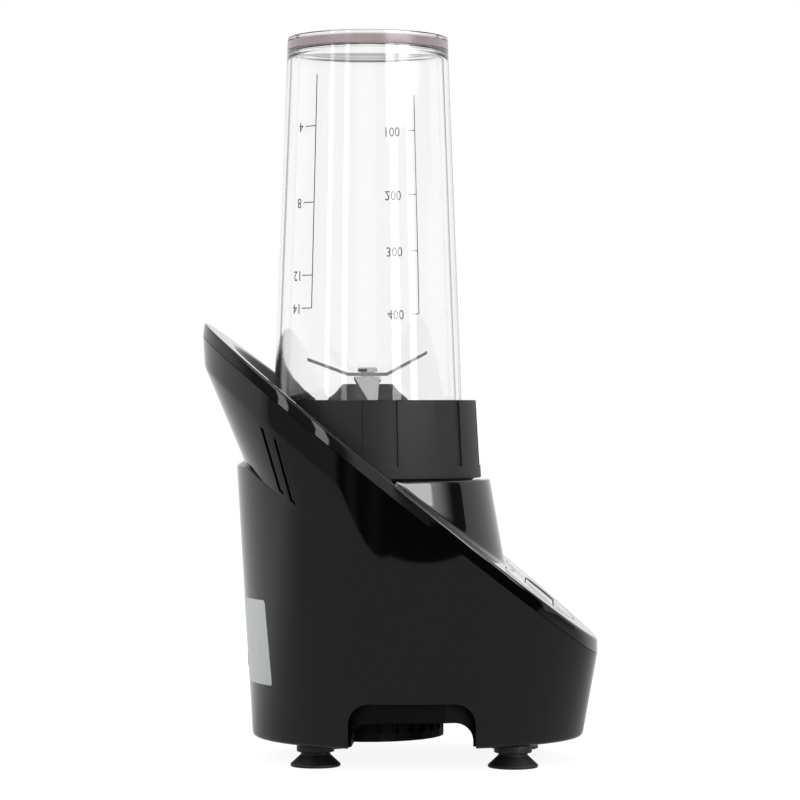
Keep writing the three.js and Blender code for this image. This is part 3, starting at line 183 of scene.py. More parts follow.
# A high soft box at the right, with a gap in its lower edge and a glow that fades to the side
box_gap = 0.85 * strip(0.72, 0.84, 0.05) * (1 - height.ramp(0.262, 0.275))
high_box = 8 * strip(0.5, 1.14, 0.03) * (1 - box_gap) * band((0.225, 0.24), (0.42, 0.46))
fading = (bearing > 0.5) * (1 - bearing.ramp(1.1, 1.56))
box_glow = 4.5 * fading * band((0.2, 0.215), (0.42, 0.46))
# Upright strip lamps, two at each side
right_strips = strip(0.58, 0.77, 0.01) + strip(1.0, 1.16, 0.01)
left_strips = strip(-0.51, -0.39, 0.01) + strip(-0.9, -0.79, 0.01)
strips = 7 * right_strips * band((0, 0.02), (0.2, 0.21)) + 4 * left_strips * band((0, 0.02), (0.38, 0.4))
shown = 1 + high_box + box_glow + strips - opening - grey_cloth - corner
# Two flags behind the blender, as far to its left as to its right
aside = right.calc("ABSOLUTE", right.calc("ARCTAN2", right, back))
flags = aside.ramp(0.52, 0.57) * (1 - aside.ramp(0.64, 0.7))


def tent_light(strength, colour=WHITE):
    return tent.node("Background", {"Color": colour, "Strength": strength})


def ray(finish, kind):
    """1 for rays of a kind, such as Camera, and 0 for the others."""
    return finish.node("LightPath", {}, output="Is " + kind + " Ray")


light = tent.node("MixShader", {0: ray(tent, "Glossy"), 1: tent_light(0.5), 2: tent_light(shown)})
through = tent_light(1 - 0.75 * flags, (0.99, 0.988, 0.995, 1))
light = tent.node("MixShader", {0: ray(tent, "Transmission"), 1: light, 2: through})
light = tent.node("MixShader", {0: ray(tent, "Camera"), 1: light, 2: tent_light(1.0)})
tent.close(light, "OutputWorld")


def lamp(name, bearing_degrees, rise_degrees, distance, size, strength, mirrored=True):
    """A soft box at a bearing from the camera and a height, as wide and tall as its size."""
    turn, rise = math.radians(bearing_degrees), math.radians(rise_degrees)
    toward = Vector((math.cos(rise) * math.sin(turn), -math.cos(rise) * math.cos(turn), math.sin(rise)))
    box = bpy.data.objects.new(name, bpy.data.lights.new(name, "AREA"))
    scene.collection.objects.link(box)
    box.location = LAMP_AIM + distance * toward
    box.rotation_euler = (-toward).to_track_quat("-Z", "Y").to_euler()
    box.data.shape = "RECTANGLE"
    box.data.size, box.data.size_y = size
    box.data.energy = strength * math.pi * size[0] * size[1]
    box.visible_glossy = mirrored
    box.visible_transmission = False


lamp("box_left", -50, 37, 2.0, (0.9, 0.8), 3.0)
lamp("box_right", 70, 40, 2.0, (0.9, 0.8), 2.2)
lamp("box_behind", 170, 50, 2.0, (1.2, 1.0), 2.0, mirrored=False)
lamp("box_front", 45, 12, 1.4, (0.45, 0.35), 6, mirrored=False)
lamp("box_front_left", -37, 12, 1.4, (0.3, 0.55), 4, mirrored=False)


def deselect():
    bpy.ops.object.select_all(action="DESELECT")


deselect()
floor_depth = FLOOR_FRONT + FLOOR_SIZE / 2
floor_middle = (-floor_depth * math.sin(FLOOR_TURN), floor_depth * math.cos(FLOOR_TURN), 0)
bpy.ops.mesh.primitive_plane_add(size=FLOOR_SIZE, location=floor_middle, rotation=(0, 0, FLOOR_TURN))
floor = bpy.context.object
floor.name = "floor"
white = Finish(bpy.data.materials.new("floor_white"))
paint = white.node("BsdfDiffuse", {"Color": (0.9, 0.9, 0.9, 1)})
glow = white.node("Emission", {"Color": WHITE, "Strength": 1.2})
lifted = white.node("MixShader", {0: 0.76, 1: paint, 2: glow})
on_floor = white.node("TexCoord", {}, output="Object")
floor_x, floor_y = (white.node("SeparateXYZ", {"Vector": on_floor}, output=axis) for axis in "XY")
floor_y = floor_y + floor_depth
far = ((floor_x * floor_x + floor_y * floor_y) ** 0.5).ramp(0.85, 1.15)
sheen = 0.46 + 0.5 * floor_y.ramp(-0.05, 0.3) - 0.2 * far * (floor_y < 0)
mirror_image = white.node("Emission", {"Color": WHITE, "Strength": sheen})
surface = white.node("MixShader", {0: ray(white, "Glossy"), 1: paint, 2: mirror_image})
surface = white.node("MixShader", {0: ray(white, "Camera"), 1: surface, 2: lifted})
floor.data.materials.append(white.close(surface))

# ---------------------------------------------------------------- base housing
# One moulding in gloss black ABS: an egg-shaped tub whose rear wall flows into a creased overhang
# under the sloping deck. It has two air slots and an arch in each side, and the cord's inlet behind.
BASE_Z = 9.7
BASE_FRONT, BASE_REAR, BASE_HALF = 79, 63.8, 61
FRONT_DRAFT, REAR_DRAFT, SIDE_DRAFT = 0.184, 0.0594, 0.048
BASE_WALL, BASE_EDGE = 2.4, 2.2
LEDGE_Z, LEDGE_DEPTH = 126.5, 3.6
DECK_TILT = math.radians(38.8)
SLOPE = math.tan(DECK_TILT)
PARTING_Z = 114
WING_SKIRT, WING_DROP, WING_WALL = 12.5, 26.5, 1.6
SIDE_BLEND, LEDGE_ROUND, CREASE_ROUND, SKIRT_ROUND = 9, 0.7, 1.0, 1.5
AROUND = 360
around = np.linspace(0, 2 * np.pi, AROUND, endpoint=False)


def lerp(a, b, t):
    return a + (b - a) * t


def smooth_step(x, low, high):
    t = np.clip((x - low) / (high - low), 0, 1)
    return t * t * (3 - 2 * t)


def point(x, y, z):
    return np.stack(np.broadcast_arrays(x, y, z), -1).astype(float)


def wall_point(a, z, inset):
    """The tub's wall at an angle and a height, or an inset inside it."""
    rise = z - BASE_Z
    reach = np.where(np.cos(a) > 0, BASE_FRONT + FRONT_DRAFT * rise, BASE_REAR + REAR_DRAFT * rise)
    half = BASE_HALF + SIDE_DRAFT * rise
    return point((reach - inset) * np.cos(a), (half - inset) * np.sin(a), z)


def slanted_wall_point(a, drop, inset):
    """The wall where a plane parallel to the deck cuts it, a drop below the parting."""
    front = np.cos(a) > 0
    draft = np.where(front, FRONT_DRAFT, REAR_DRAFT)
    level = PARTING_Z - drop
    full = np.where(front, BASE_FRONT, BASE_REAR) + draft * (level - BASE_Z) - inset
    x = np.cos(a) * full / (1 + draft * SLOPE * np.cos(a))
    z = level - SLOPE * x
    return point(x, (BASE_HALF + SIDE_DRAFT * (z - BASE_Z) - inset) * np.sin(a), z)


DECK_REACH = slanted_wall_point(0.0, 0, 0)[0]
DECK_HALF = slanted_wall_point(np.pi / 2, 0, 0)[1]


def backward(a):
    return np.maximum(0, -np.cos(a))


def skirt_point(a, drop, inset):
    """The overhang's upright skirt behind, and the wall in front."""
    x = (DECK_REACH - REAR_DRAFT * drop - inset) * np.cos(a)
    y = (DECK_HALF - SIDE_DRAFT * drop - inset) * np.sin(a)
    behind = point(x, y, PARTING_Z - drop - SLOPE * x)
    return np.where((backward(a) > 0)[..., None], behind, slanted_wall_point(a, drop, inset))


def shoulder_point(a, inset, sink):
    """The top of the tub's wall: a level ledge behind, which dips with the deck to the front."""
    drop = (WING_SKIRT + WING_DROP) * (1 - 0.5 * np.maximum(0, np.cos(a)))
    slanted = slanted_wall_point(a, drop + sink, inset)
    level = wall_point(a, LEDGE_Z - sink, inset)
    return np.where((slanted[..., 2] > LEDGE_Z - sink)[..., None], level, slanted)


def foot_point(a, inset):
    """The foot of the overhang, which stands in from the tub's wall by the ledge."""
    depth = LEDGE_DEPTH * backward(a) ** 8
    behind = slanted_wall_point(a, WING_SKIRT + WING_DROP, depth + inset)
    return np.where((backward(a) > 0)[..., None], behind, shoulder_point(a, inset, 0))


def soft_path(corners, blends, samples):
    """Rows of points along a path through corners, each corner rounded over its blend length.

    corners: list of (columns, 3) arrays. blends: a length or an array for each inner corner.
    samples: list of (corner, share) pairs: share is in blends from an inner corner, or with a
    corner given as (i, j) a share of the way from the end of i's blend to the start of j's."""
    corners = [np.asarray(c, float) for c in corners]
    steps = [np.linalg.norm(b - a, axis=-1) for a, b in zip(corners, corners[1:])]
    starts = [np.zeros_like(steps[0])]
    for step in steps:
        starts.append(starts[-1] + step)
    directions = [
        (b - a) / np.maximum(step, 1e-9)[..., None]
        for a, b, step in zip(corners, corners[1:], steps)
    ]
    blends = [0 * steps[0]] + [0 * steps[0] + b for b in blends] + [0 * steps[0]]
    places = []
    for corner, share in samples:
        if isinstance(corner, tuple):
            i, j = corner
            places.append(lerp(starts[i] + blends[i], starts[j] - blends[j], share))
        else:
            places.append(starts[corner] + share * blends[corner])
    places = np.clip(np.sort(np.stack(places), axis=0), 0, starts[-1])
    rows = []
    for s in places:
        at = corners[0] + directions[0] * s[..., None]
        for k in range(1, len(corners) - 1):
            x, c = s - starts[k], np.maximum(blends[k], 1e-6)
            bend = np.where(x > c, x, np.where(x < -c, 0, (x + c) ** 2 / (4 * c)))
            at = at + (directions[k] - directions[k - 1]) * bend[..., None]
        rows.append(at)
    return rows


def round_corner(corner, steps=3):
    return [(corner, i / steps) for i in range(-steps, steps + 1)]


def between(i, j, count):
    return [((i, j), (n + 1) / (count + 1)) for n in range(count)]


def skin(name, rows, closed):
    """A mesh through rows of points that each run once round, in millimetres."""
    count = len(rows[0])
    points = np.concatenate(rows) * MM
    faces = []
    pairs = list(zip(range(len(rows) - 1), range(1, len(rows))))
    if closed:
        pairs.append((len(rows) - 1, 0))
    for low, high in pairs:
        for i in range(count):
            j = (i + 1) % count
            faces.append((low * count + i, low * count + j, high * count + j, high * count + i))
    mesh = bpy.data.meshes.new(name)
    mesh.from_pydata(points.tolist(), [], faces)
    obj = bpy.data.objects.new(name, mesh)
    scene.collection.objects.link(obj)
    return obj


def choose(obj):
    deselect()
    obj.select_set(True)
    bpy.context.view_layer.objects.active = obj


def outward(obj):
    choose(obj)
    bpy.ops.object.mode_set(mode="EDIT")
    bpy.ops.mesh.select_all(action="SELECT")
    bpy.ops.mesh.remove_doubles(threshold=1e-7)
    bpy.ops.mesh.normals_make_consistent(inside=False)
    bpy.ops.object.mode_set(mode="OBJECT")


def smooth(obj, degrees):
    choose(obj)
    bpy.ops.object.shade_smooth_by_angle(angle=math.radians(degrees))


def carve(obj, cutter):
    choose(obj)
    step = obj.modifiers.new("carve", "BOOLEAN")
    step.operation, step.object, step.solver = "DIFFERENCE", cutter, "EXACT"
    bpy.ops.object.modifier_apply(modifier=step.name)
    bpy.data.objects.remove(cutter)


def joined(pieces):
    choose(pieces[0])
    for piece in pieces:
        piece.select_set(True)
    bpy.ops.object.join()
    return bpy.context.object


def settle(obj, body, material, slot, *nodes):
    """Gives a finished piece its material and its place among the moving bodies."""
    obj.data.materials.clear()
    obj.data.materials.append(material)
    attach(obj, body)
    if nodes:
        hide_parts(*nodes)


def shaped_box(corners):
    """A box whose eight corners are given: four below, then four above, in millimetres."""
    deselect()
    bpy.ops.mesh.primitive_cube_add(size=2)
    box = bpy.context.object
    order = {(-1, -1): 0, (1, -1): 1, (1, 1): 2, (-1, 1): 3}
    for v in box.data.vertices:
        x, y, z = (round(c) for c in v.co)
        v.co = Vector(corners[order[(x, y)] + (4 if z > 0 else 0)]) * MM
    return box


# The ledge and the crease are crisp behind, and melt into the wall at the sides
crisp = smooth_step(backward(around), 0.35, 0.7)
outer = soft_path(
    [
        wall_point(around, BASE_Z, BASE_WALL),
        wall_point(around, BASE_Z, 0),
        shoulder_point(around, 0, 0),
        foot_point(around, 0),
        skirt_point(around, WING_SKIRT, 0),
        skirt_point(around, 0, 0),
    ],
    [BASE_EDGE, lerp(SIDE_BLEND, LEDGE_ROUND, crisp), lerp(SIDE_BLEND, CREASE_ROUND, crisp), SKIRT_ROUND],
    [(0, 0)]
    + round_corner(1)
    + between(1, 2, 7)
    + round_corner(2)
    + round_corner(3)
    + between(3, 4, 7)
    + round_corner(4)
    + between(4, 5, 2)
    + [(5, 0)],
)
wall = lerp(BASE_WALL, WING_WALL, backward(around))
foot_inside = foot_point(around, wall)
shoulder_inside = shoulder_point(around, BASE_WALL, BASE_WALL)
lowered = np.where((backward(around) > 0)[:, None], foot_inside - point(0, 0, BASE_WALL), shoulder_inside)
WALL_ROW_Z = BASE_Z + 30
inner = [
    skirt_point(around, 0, wall),
    skirt_point(around, WING_SKIRT, wall),
    foot_inside,
    lowered,
    shoulder_inside,
    wall_point(around, WALL_ROW_Z, BASE_WALL),
]
housing = skin("base_housing", outer + inner, closed=True)
outward(housing)

ARCH_X, ARCH_HALF, ARCH_TOP, ARCH_ROUND = 7.6, 26.5, 28.7, 9
ARCH_FLOOR, ARCH_REACH = -5, 90
arch_plan = [(x * ARCH_HALF + ARCH_X, y * ARCH_REACH) for x, y in ((-1, -1), (1, -1), (1, 1), (-1, 1))]
arch = shaped_box([(x, y, z) for z in (ARCH_FLOOR, ARCH_TOP) for x, y in arch_plan])
choose(arch)
bpy.ops.object.mode_set(mode="EDIT")
bpy.ops.mesh.select_all(action="DESELECT")
bpy.ops.object.mode_set(mode="OBJECT")
for edge in arch.data.edges:
    ends = [arch.data.vertices[v].co for v in edge.vertices]
    edge.select = all(e.z > 0 for e in ends) and abs(ends[0].x - ends[1].x) < MM
bpy.ops.object.mode_set(mode="EDIT")
bpy.ops.mesh.bevel(offset=ARCH_ROUND * MM, segments=14)
bpy.ops.object.mode_set(mode="OBJECT")
carve(housing, arch)

SLOT_ANGLE, SLOT_PITCH, SLOT_WIDTH = (math.radians(d) for d in (126.4, 5.36, 2.5))
SLOT_HEAD, SLOT_FOOT = 0.12, 0.9  # shares of the way down the overhang
SLOT_RECESS, SLOT_OPEN_FROM = 0.8, 0.7
slot_count = 1 + 2 * round((math.pi - SLOT_ANGLE) / SLOT_PITCH)
slot_edge = math.pi - slot_count * SLOT_PITCH / 2


def slot_cutter(back, front, depth):
    """Boxes at the air slots, between two shares of a slot's width and down to a depth."""
    corner_shares = (back, SLOT_FOOT), (front, SLOT_FOOT), (front, SLOT_HEAD), (back, SLOT_HEAD)
    boxes = []
    for i in (0, 1, slot_count - 2, slot_count - 1):
        middle = slot_edge + (i + 0.5) * SLOT_PITCH
        forward = 1 if math.sin(middle) < 0 else -1
        corners = []
        for inset in (depth, -2 * WING_WALL):
            for across, share in corner_shares:
                a = np.array(middle + forward * (across - 0.5) * SLOT_WIDTH)
                low, high = foot_point(a, inset), skirt_point(a, WING_SKIRT, inset)
                corners.append(lerp(high, low, share))
        boxes.append(shaped_box(corners))
    cutter = joined(boxes)
    outward(cutter)
    return cutter


carve(housing, slot_cutter(0, 1, SLOT_RECESS))
carve(housing, slot_cutter(SLOT_OPEN_FROM, 1, 2.5 * WING_WALL))

INLET_Z, INLET_RADIUS, INLET_DEPTH = 42, 5.5, 20
deselect()
bpy.ops.mesh.primitive_cylinder_add(
    vertices=48,
    radius=INLET_RADIUS * MM,
    depth=INLET_DEPTH * MM,
    location=Vector(wall_point(np.array(np.pi), INLET_Z, 0)) * MM,
    rotation=(0, math.pi / 2, 0),
)
carve(housing, bpy.context.object)
smooth(housing, 30)


def noise(finish, scale, detail=2.0, stretch=(1, 1, 1)):
    """A mottle from 0 to 1, with a scale per millimetre, that can be stretched along an axis."""
    at = finish.node("TexCoord", {}, output="Object")
    at = finish.node("Mapping", {"Vector": at, "Scale": [share / MM for share in stretch]})
    return finish.node("TexNoise", {"Vector": at, "Scale": scale, "Detail": detail})


def blended(finish, factor, first, second):
    """A colour between two. The Mix node's colours are its sockets 6 and 7, and its output 2."""
    sockets = {0: factor, 6: (*first, 1), 7: (*second, 1)}
    return finish.node("Mix", sockets, {"data_type": "RGBA"}, output=2)


def shades(finish, factor, colour, dark, light):
    """A colour that varies between a darker and a lighter share of itself."""
    return blended(finish, factor, [dark * c for c in colour], [light * c for c in colour])


def plastic(name, colour, rough, specular=0.5, grain=0.0, grain_scale=3.0, wave=0.0):
    """A moulded plastic: colour, a low and a high roughness, its grain and its surface waviness."""
    made = Finish(bpy.data.materials.new(name))
    broad = noise(made, 0.05, 3)
    relief = noise(made, 0.035, 1) * wave + noise(made, grain_scale, 2) * grain
    sockets = {
        "Base Color": shades(made, broad, colour, 0.8, 1.15),
        "Roughness": lerp(*rough, broad),
        "IOR": 1.5,
        "Specular IOR Level": specular,
        "Normal": made.node("Bump", {"Strength": 1.0, "Distance": MM, "Height": relief}),
    }
    return made.close(made.node("BsdfPrincipled", sockets))


gloss_black = plastic("gloss_black", (0.0016, 0.0016, 0.0022), (0.02, 0.04), specular=0.45, wave=0.004)
settle(housing, "base", gloss_black, "gloss_black", "main_housing")

# ---------------------------------------------------------------- deck cover
# The top moulding, in the same gloss black: a sloping deck with a rounded rim, the well that the
# cup stands in behind, and the neck that carries the cup in front.
GAP = 0.3
AXIS_X = -14
RIM_DROP, RIM_LEAN, RIM_ROUND = 6.5, 0.7, 1.3
DECK_TOP_Z, DECK_WALL = PARTING_Z + RIM_DROP, 1.6
SEAT_RIM_Z = 120.6
SEAT_RADIUS, SEAT_FLOOR_Z = 46.0, SEAT_RIM_Z - 7.9
THROAT_RADIUS, THROAT_Z = 49.7, SEAT_RIM_Z + 8.4
WELL_RADIUS, WELL_SHOULDER, WELL_BLEND = 58, SEAT_RIM_Z + 30.9, 1.6
NECK_RADIUS, NECK_FLARE, NECK_BLEND = 53, 0.176, 2.0
BRIM_ROUND, SEAT_ROUND = 0.9, 0.8
COUPLING_HOLE, COUPLING_LIP = 16, 3
SLIVER = 0.02  # least step between two rows


def deck_point(a, drop, inset):
    """The deck's outline, a drop below the parting: a half oval behind, the tub's wall in front."""
    front = slanted_wall_point(a, 0, inset)
    behind = np.cos(a) < 0
    x = np.where(behind, (DECK_REACH - inset) * np.cos(a), front[..., 0])
    y = np.where(behind, (DECK_HALF - inset) * np.sin(a), front[..., 1])
    return point(x, y, PARTING_Z - drop - SLOPE * x)


rim = deck_point(around, -RIM_DROP, RIM_LEAN * (1 - smooth_step(np.cos(around), 0.05, 0.25)))
heading = np.arctan2(rim[:, 1], rim[:, 0] - AXIS_X)


def on_deck(radius):
    """Height of the deck at a radius from the cup's axis, along each column's heading."""
    return DECK_TOP_Z - SLOPE * (AXIS_X + radius * np.cos(heading))


def at_axis(radius, z):
    return point(AXIS_X + radius * np.cos(heading), radius * np.sin(heading), z)


def cone_on_deck(radius, z, flare, toward):
    """Radius at which a cone round the cup's axis meets the deck. It has a radius at a height, and
    grows by the flare with each millimetre down."""
    level = DECK_TOP_Z - SLOPE * AXIS_X
    return (radius + flare * (z - level)) / (1 - flare * SLOPE * np.cos(toward))


is_neck = on_deck(NECK_RADIUS) < SEAT_RIM_Z
is_rim = ~is_neck & (on_deck(THROAT_RADIUS) < SEAT_RIM_Z)
raised = is_neck | is_rim
neck_foot = cone_on_deck(NECK_RADIUS, SEAT_RIM_Z, NECK_FLARE, heading)
well_flare = (WELL_RADIUS - THROAT_RADIUS) / (WELL_SHOULDER - THROAT_Z)
well_edge = cone_on_deck(THROAT_RADIUS, THROAT_Z, -well_flare, heading)
well_edge = np.clip(well_edge, THROAT_RADIUS, WELL_RADIUS)
level_edge = (DECK_TOP_Z - SLOPE * AXIS_X - SEAT_RIM_Z) / (SLOPE * np.maximum(np.cos(heading), 1e-3))
edge = np.where(is_neck, neck_foot, np.where(is_rim, level_edge, well_edge))
edge_z = on_deck(edge)
brim = np.where(is_neck, NECK_RADIUS, np.where(is_rim, level_edge, THROAT_RADIUS))
shoulder_z = np.minimum(edge_z - SLIVER, WELL_SHOULDER)
shoulder_z = np.where(raised, lerp(edge_z, SEAT_RIM_Z, 0.4), shoulder_z)
shoulder_r = np.where(is_neck, lerp(edge, brim, 0.4), edge)
throat_z = np.where(raised, lerp(edge_z, SEAT_RIM_Z, 0.8), np.minimum(shoulder_z - SLIVER, THROAT_Z))
throat_r = np.where(is_neck, lerp(edge, brim, 0.8), np.where(is_rim, brim, THROAT_RADIUS))
climb = np.abs(SEAT_RIM_Z - edge_z)
edge_blend = np.where(is_neck, np.minimum(NECK_BLEND, 0.45 * climb), np.minimum(WELL_BLEND, 0.3 * climb))
brim_blend = np.where(is_neck, np.minimum(BRIM_ROUND, 0.3 * climb), 0.3)
deck_rows = soft_path(
    [
        deck_point(around, -GAP, 0),
        rim,
        at_axis(edge, edge_z),
        at_axis(shoulder_r, shoulder_z),
        at_axis(throat_r, throat_z),
        at_axis(brim, SEAT_RIM_Z),
        at_axis(SEAT_RADIUS, SEAT_RIM_Z),
        at_axis(SEAT_RADIUS, SEAT_FLOOR_Z),
        at_axis(COUPLING_HOLE, SEAT_FLOOR_Z),
        at_axis(COUPLING_HOLE, SEAT_FLOOR_Z - COUPLING_LIP),
    ],
    [RIM_ROUND, edge_blend, 0.01, 0.01, brim_blend, 0.5, SEAT_ROUND, 0.4],
    [(0, 0), ((0, 1), 0.5)]
    + round_corner(1, 4)
    + [((1, 2), 0.03), ((1, 2), 0.97)]
    + round_corner(2, 4)
    + between(2, 3, 2)
    + [(3, 0)]
    + between(3, 4, 3)
    + [(4, 0)]
    + between(4, 5, 1)
    + round_corner(5, 2)
    + round_corner(6, 2)
    + round_corner(7, 2)
    + round_corner(8, 2)
    + [(9, 0)],
)
deck = skin("deck_cover", deck_rows, closed=False)
outward(deck)


def thicken(obj, thickness, offset=0.0):
    choose(obj)
    step = obj.modifiers.new("wall", "SOLIDIFY")
    step.thickness, step.offset = thickness * MM, offset
    bpy.ops.object.modifier_apply(modifier=step.name)


thicken(deck, DECK_WALL, -1)

# ---------------------------------------------------------------- control panel and button
# A separate plate, let into the front of the deck round the neck. The wide button works through it,
# in an opening in the deck, and both have fine rounded edges.
BUTTON_X, BUTTON_LENGTH, BUTTON_WIDTH, BUTTON_CORNER = 60.5, 15, 51, 6
BUTTON_THICK, BUTTON_PROUD, BUTTON_GAP = 2.6, -0.15, 0.4
CAGE_ROOM, CAGE_CORNER = 2.7, 5.7
PANEL_INSET, PANEL_NOSE, PANEL_THICK, PANEL_NECK_GAP, PANEL_REAR_X = 6.5, 5.5, 2, 3.5, 46
PANEL_SWEEP, BAY_SWEEP = 1.35, 0.9
CUT_BELOW, CUT_ABOVE = -9, 5
button_middle = Vector((BUTTON_X, 0, DECK_TOP_Z - SLOPE * BUTTON_X)) * MM
deck_frame = Matrix.Translation(button_middle) @ Matrix.Rotation(DECK_TILT, 4, "Y")


def panel_outline(grow):
    """The panel's edge on the deck, as points in its own plane: its nose, then its bay at the neck."""
    sweep = np.linspace(-PANEL_SWEEP, PANEL_SWEEP, 181)
    nose = deck_point(sweep, -RIM_DROP, PANEL_INSET + PANEL_NOSE * np.cos(sweep) ** 4 - grow)
    sweep = np.linspace(BAY_SWEEP, -BAY_SWEEP, 121)
    radius = cone_on_deck(NECK_RADIUS + PANEL_NECK_GAP - grow, SEAT_RIM_Z, NECK_FLARE, sweep)
    x = AXIS_X + radius * np.cos(sweep)
    bay = point(x, radius * np.sin(sweep), DECK_TOP_Z - SLOPE * x)
    run = [(x, y) for x, y, z in np.concatenate([nose, bay]) if x > PANEL_REAR_X - grow]
    return [((x - BUTTON_X) / math.cos(DECK_TILT), y) for x, y in run]


def rounded_plan(room, corner, steps=8):
    """The button's outline with room all round it and a corner radius."""
    length, width = BUTTON_LENGTH + 2 * room, BUTTON_WIDTH + 2 * room
    plan = []
    for cx, cy, start in ((1, 1, 0), (-1, 1, 90), (-1, -1, 180), (1, -1, 270)):
        for i in range(steps + 1):
            a = math.radians(start + 90 * i / steps)
            x, y = cx * (length / 2 - corner), cy * (width / 2 - corner)
            plan.append((x + corner * math.cos(a), y + corner * math.sin(a)))
    return plan


def slab(name, plan, low, high):
    """A plate of an outline, square to the deck."""
    mesh = bpy.data.meshes.new(name)
    count = len(plan)
    points = [deck_frame @ (Vector((x, y, z)) * MM) for z in (low, high) for x, y in plan]
    faces = [tuple(range(count))[::-1], tuple(range(count, 2 * count))]
    faces += [(i, (i + 1) % count, count + (i + 1) % count, count + i) for i in range(count)]
    mesh.from_pydata(points, [], faces)
    obj = bpy.data.objects.new(name, mesh)
    scene.collection.objects.link(obj)
    outward(obj)
    return obj


def soften(obj, width, segments):
    """Rounds the sharp edges."""
    choose(obj)
    step = obj.modifiers.new("bevel", "BEVEL")
    step.width, step.segments = width * MM, segments
    step.limit_method, step.angle_limit = "ANGLE", math.radians(40)
    bpy.ops.object.modifier_apply(modifier=step.name)


carve(deck, slab("recess", panel_outline(GAP), -PANEL_THICK - GAP, CUT_ABOVE))
carve(deck, slab("cage", rounded_plan(CAGE_ROOM, CAGE_CORNER), CUT_BELOW, CUT_ABOVE))
smooth(deck, 30)
settle(deck, "base", gloss_black, "gloss_black", "top_cover")

panel = slab("control_panel_plate", panel_outline(0), -PANEL_THICK, 0)
carve(panel, slab("opening", rounded_plan(BUTTON_GAP, BUTTON_CORNER + BUTTON_GAP), CUT_BELOW, CUT_ABOVE))
soften(panel, 0.3, 3)
smooth(panel, 30)
settle(panel, "base", gloss_black, "gloss_black", "control_panel")

button = slab("button_cap", rounded_plan(0, BUTTON_CORNER), BUTTON_PROUD - BUTTON_THICK, BUTTON_PROUD)
soften(button, 0.45, 4)
smooth(button, 30)
settle(button, "button", gloss_black, "gloss_black", "power_button")

# ---------------------------------------------------------------- feet
# Four rubber feet: a puck with a waist and a wide soft lip that grips the table. They are pushed
# into sockets under the base.
FOOT_REACH, FOOT_HALF, FOOT_TOP_Z = 41.7, 35, 9.6
FOOT_PUCK, FOOT_WAIST, FOOT_LIP = 8, 6.1, 10.7
TIP = 0.02  # least radius of a turned ring


def rounded(corners, steps=3):
    """A profile through (radius, z, blend) corners, each rounded over its blend length."""
    spots = [np.array([[r, 0, z]]) for r, z, _ in corners]
    samples = [(0, 0)]
    for i in range(1, len(corners) - 1):
        samples += round_corner(i, steps) if corners[i][2] > 0 else [(i, 0)]
    samples.append((len(corners) - 1, 0))
    rows = soft_path(spots, [b for _, _, b in corners[1:-1]], samples)
    return [(row[0][0], row[0][2]) for row in rows]


def lathe(name, profile, centre, segments, closed=False):
    """A ring drawn up through (radius, z) pairs in millimetres by extruding and scaling it."""
    cx, cy = centre[0] * MM, centre[1] * MM
    rings = [(max(radius, TIP), z) for radius, z in profile]
    radius, z = rings[0]
    deselect()
    bpy.ops.mesh.primitive_circle_add(vertices=segments, radius=radius * MM, location=(cx, cy, z * MM))
    obj = bpy.context.object
    obj.name = name
    bpy.ops.object.transform_apply(location=True, rotation=True, scale=True)
    bpy.ops.object.mode_set(mode="EDIT")
    bpy.ops.mesh.select_all(action="SELECT")
    for (old, old_z), (radius, z) in zip(rings, rings[1:]):
        bpy.ops.mesh.extrude_region_move(TRANSFORM_OT_translate={"value": (0, 0, (z - old_z) * MM)})
        grow = radius / old
        bpy.ops.transform.resize(value=(grow, grow, 1), center_override=(cx, cy, z * MM))
    bpy.ops.mesh.select_all(action="DESELECT")
    bpy.ops.mesh.select_non_manifold()
    if closed:
        bpy.ops.mesh.bridge_edge_loops()
    else:
        bpy.ops.mesh.fill_holes(sides=0)
    bpy.ops.mesh.select_all(action="SELECT")
    bpy.ops.mesh.normals_make_consistent(inside=False)
    bpy.ops.object.mode_set(mode="OBJECT")
    smooth(obj, 34)
    return obj


rubber_black = plastic("rubber_black", (0.008, 0.008, 0.0085), (0.4, 0.56), 0.35, 0.02, 2.2)
foot_profile = rounded(
    [
        (0.0, 1.6, 0),
        (0.6 * FOOT_LIP, 1.3, 0.6),
        (0.8 * FOOT_LIP, 0.1, 0.8),
        (FOOT_LIP - 0.2, 0.0, 0.35),
        (FOOT_LIP, 1.0, 0.35),
        (FOOT_WAIST, 5.2, 1.0),
        (FOOT_WAIST, 5.9, 0.3),
        (FOOT_PUCK, 6.3, 0.4),
        (FOOT_PUCK, FOOT_TOP_Z, 0.3),
        (0.0, FOOT_TOP_Z, 0),
    ]
)
for front_back, x in (("rear", ARCH_X - FOOT_REACH), ("front", ARCH_X + FOOT_REACH)):
    for side, y in (("left", -FOOT_HALF), ("right", FOOT_HALF)):
        node = "foot_" + front_back + "_" + side
        foot = lathe("rubber_" + node, foot_profile, (x, y), 72)
        settle(foot, "base", rubber_black, "rubber_black", node)

# ---------------------------------------------------------------- plate
# A thin silver foil plate, stuck low on the left of the rear wall. It is bare, and its corners are
# slightly drawn in.
PLATE_LOW, PLATE_HIGH, PLATE_THICK, PLATE_LIFT = 34, 70, 0.2, 0.02
PLATE_LEFT, PLATE_RIGHT = math.radians(-171), math.radians(-144.5)
PLATE_LEAN = 0.02
CORNER_RISE, CORNER_DRAW = 0.07, 0.05  # shares of half the plate's height and width


def metal(name, colour, rough, scale=0.5, stretch=(1, 1, 1)):
    """A bare metal, its grain drawn out along an axis where it is ground or stacked that way."""
    made = Finish(bpy.data.materials.new(name))
    grain = noise(made, scale, 3, stretch)
    sockets = {
        "Base Color": shades(made, grain, colour, 0.85, 1.1),
        "Roughness": lerp(*rough, grain),
        "Metallic": 1.0,
        "Normal": made.node("Bump", {"Strength": 0.4, "Distance": 0.05 * MM, "Height": grain}),
    }
    return made.close(made.node("BsdfPrincipled", sockets))


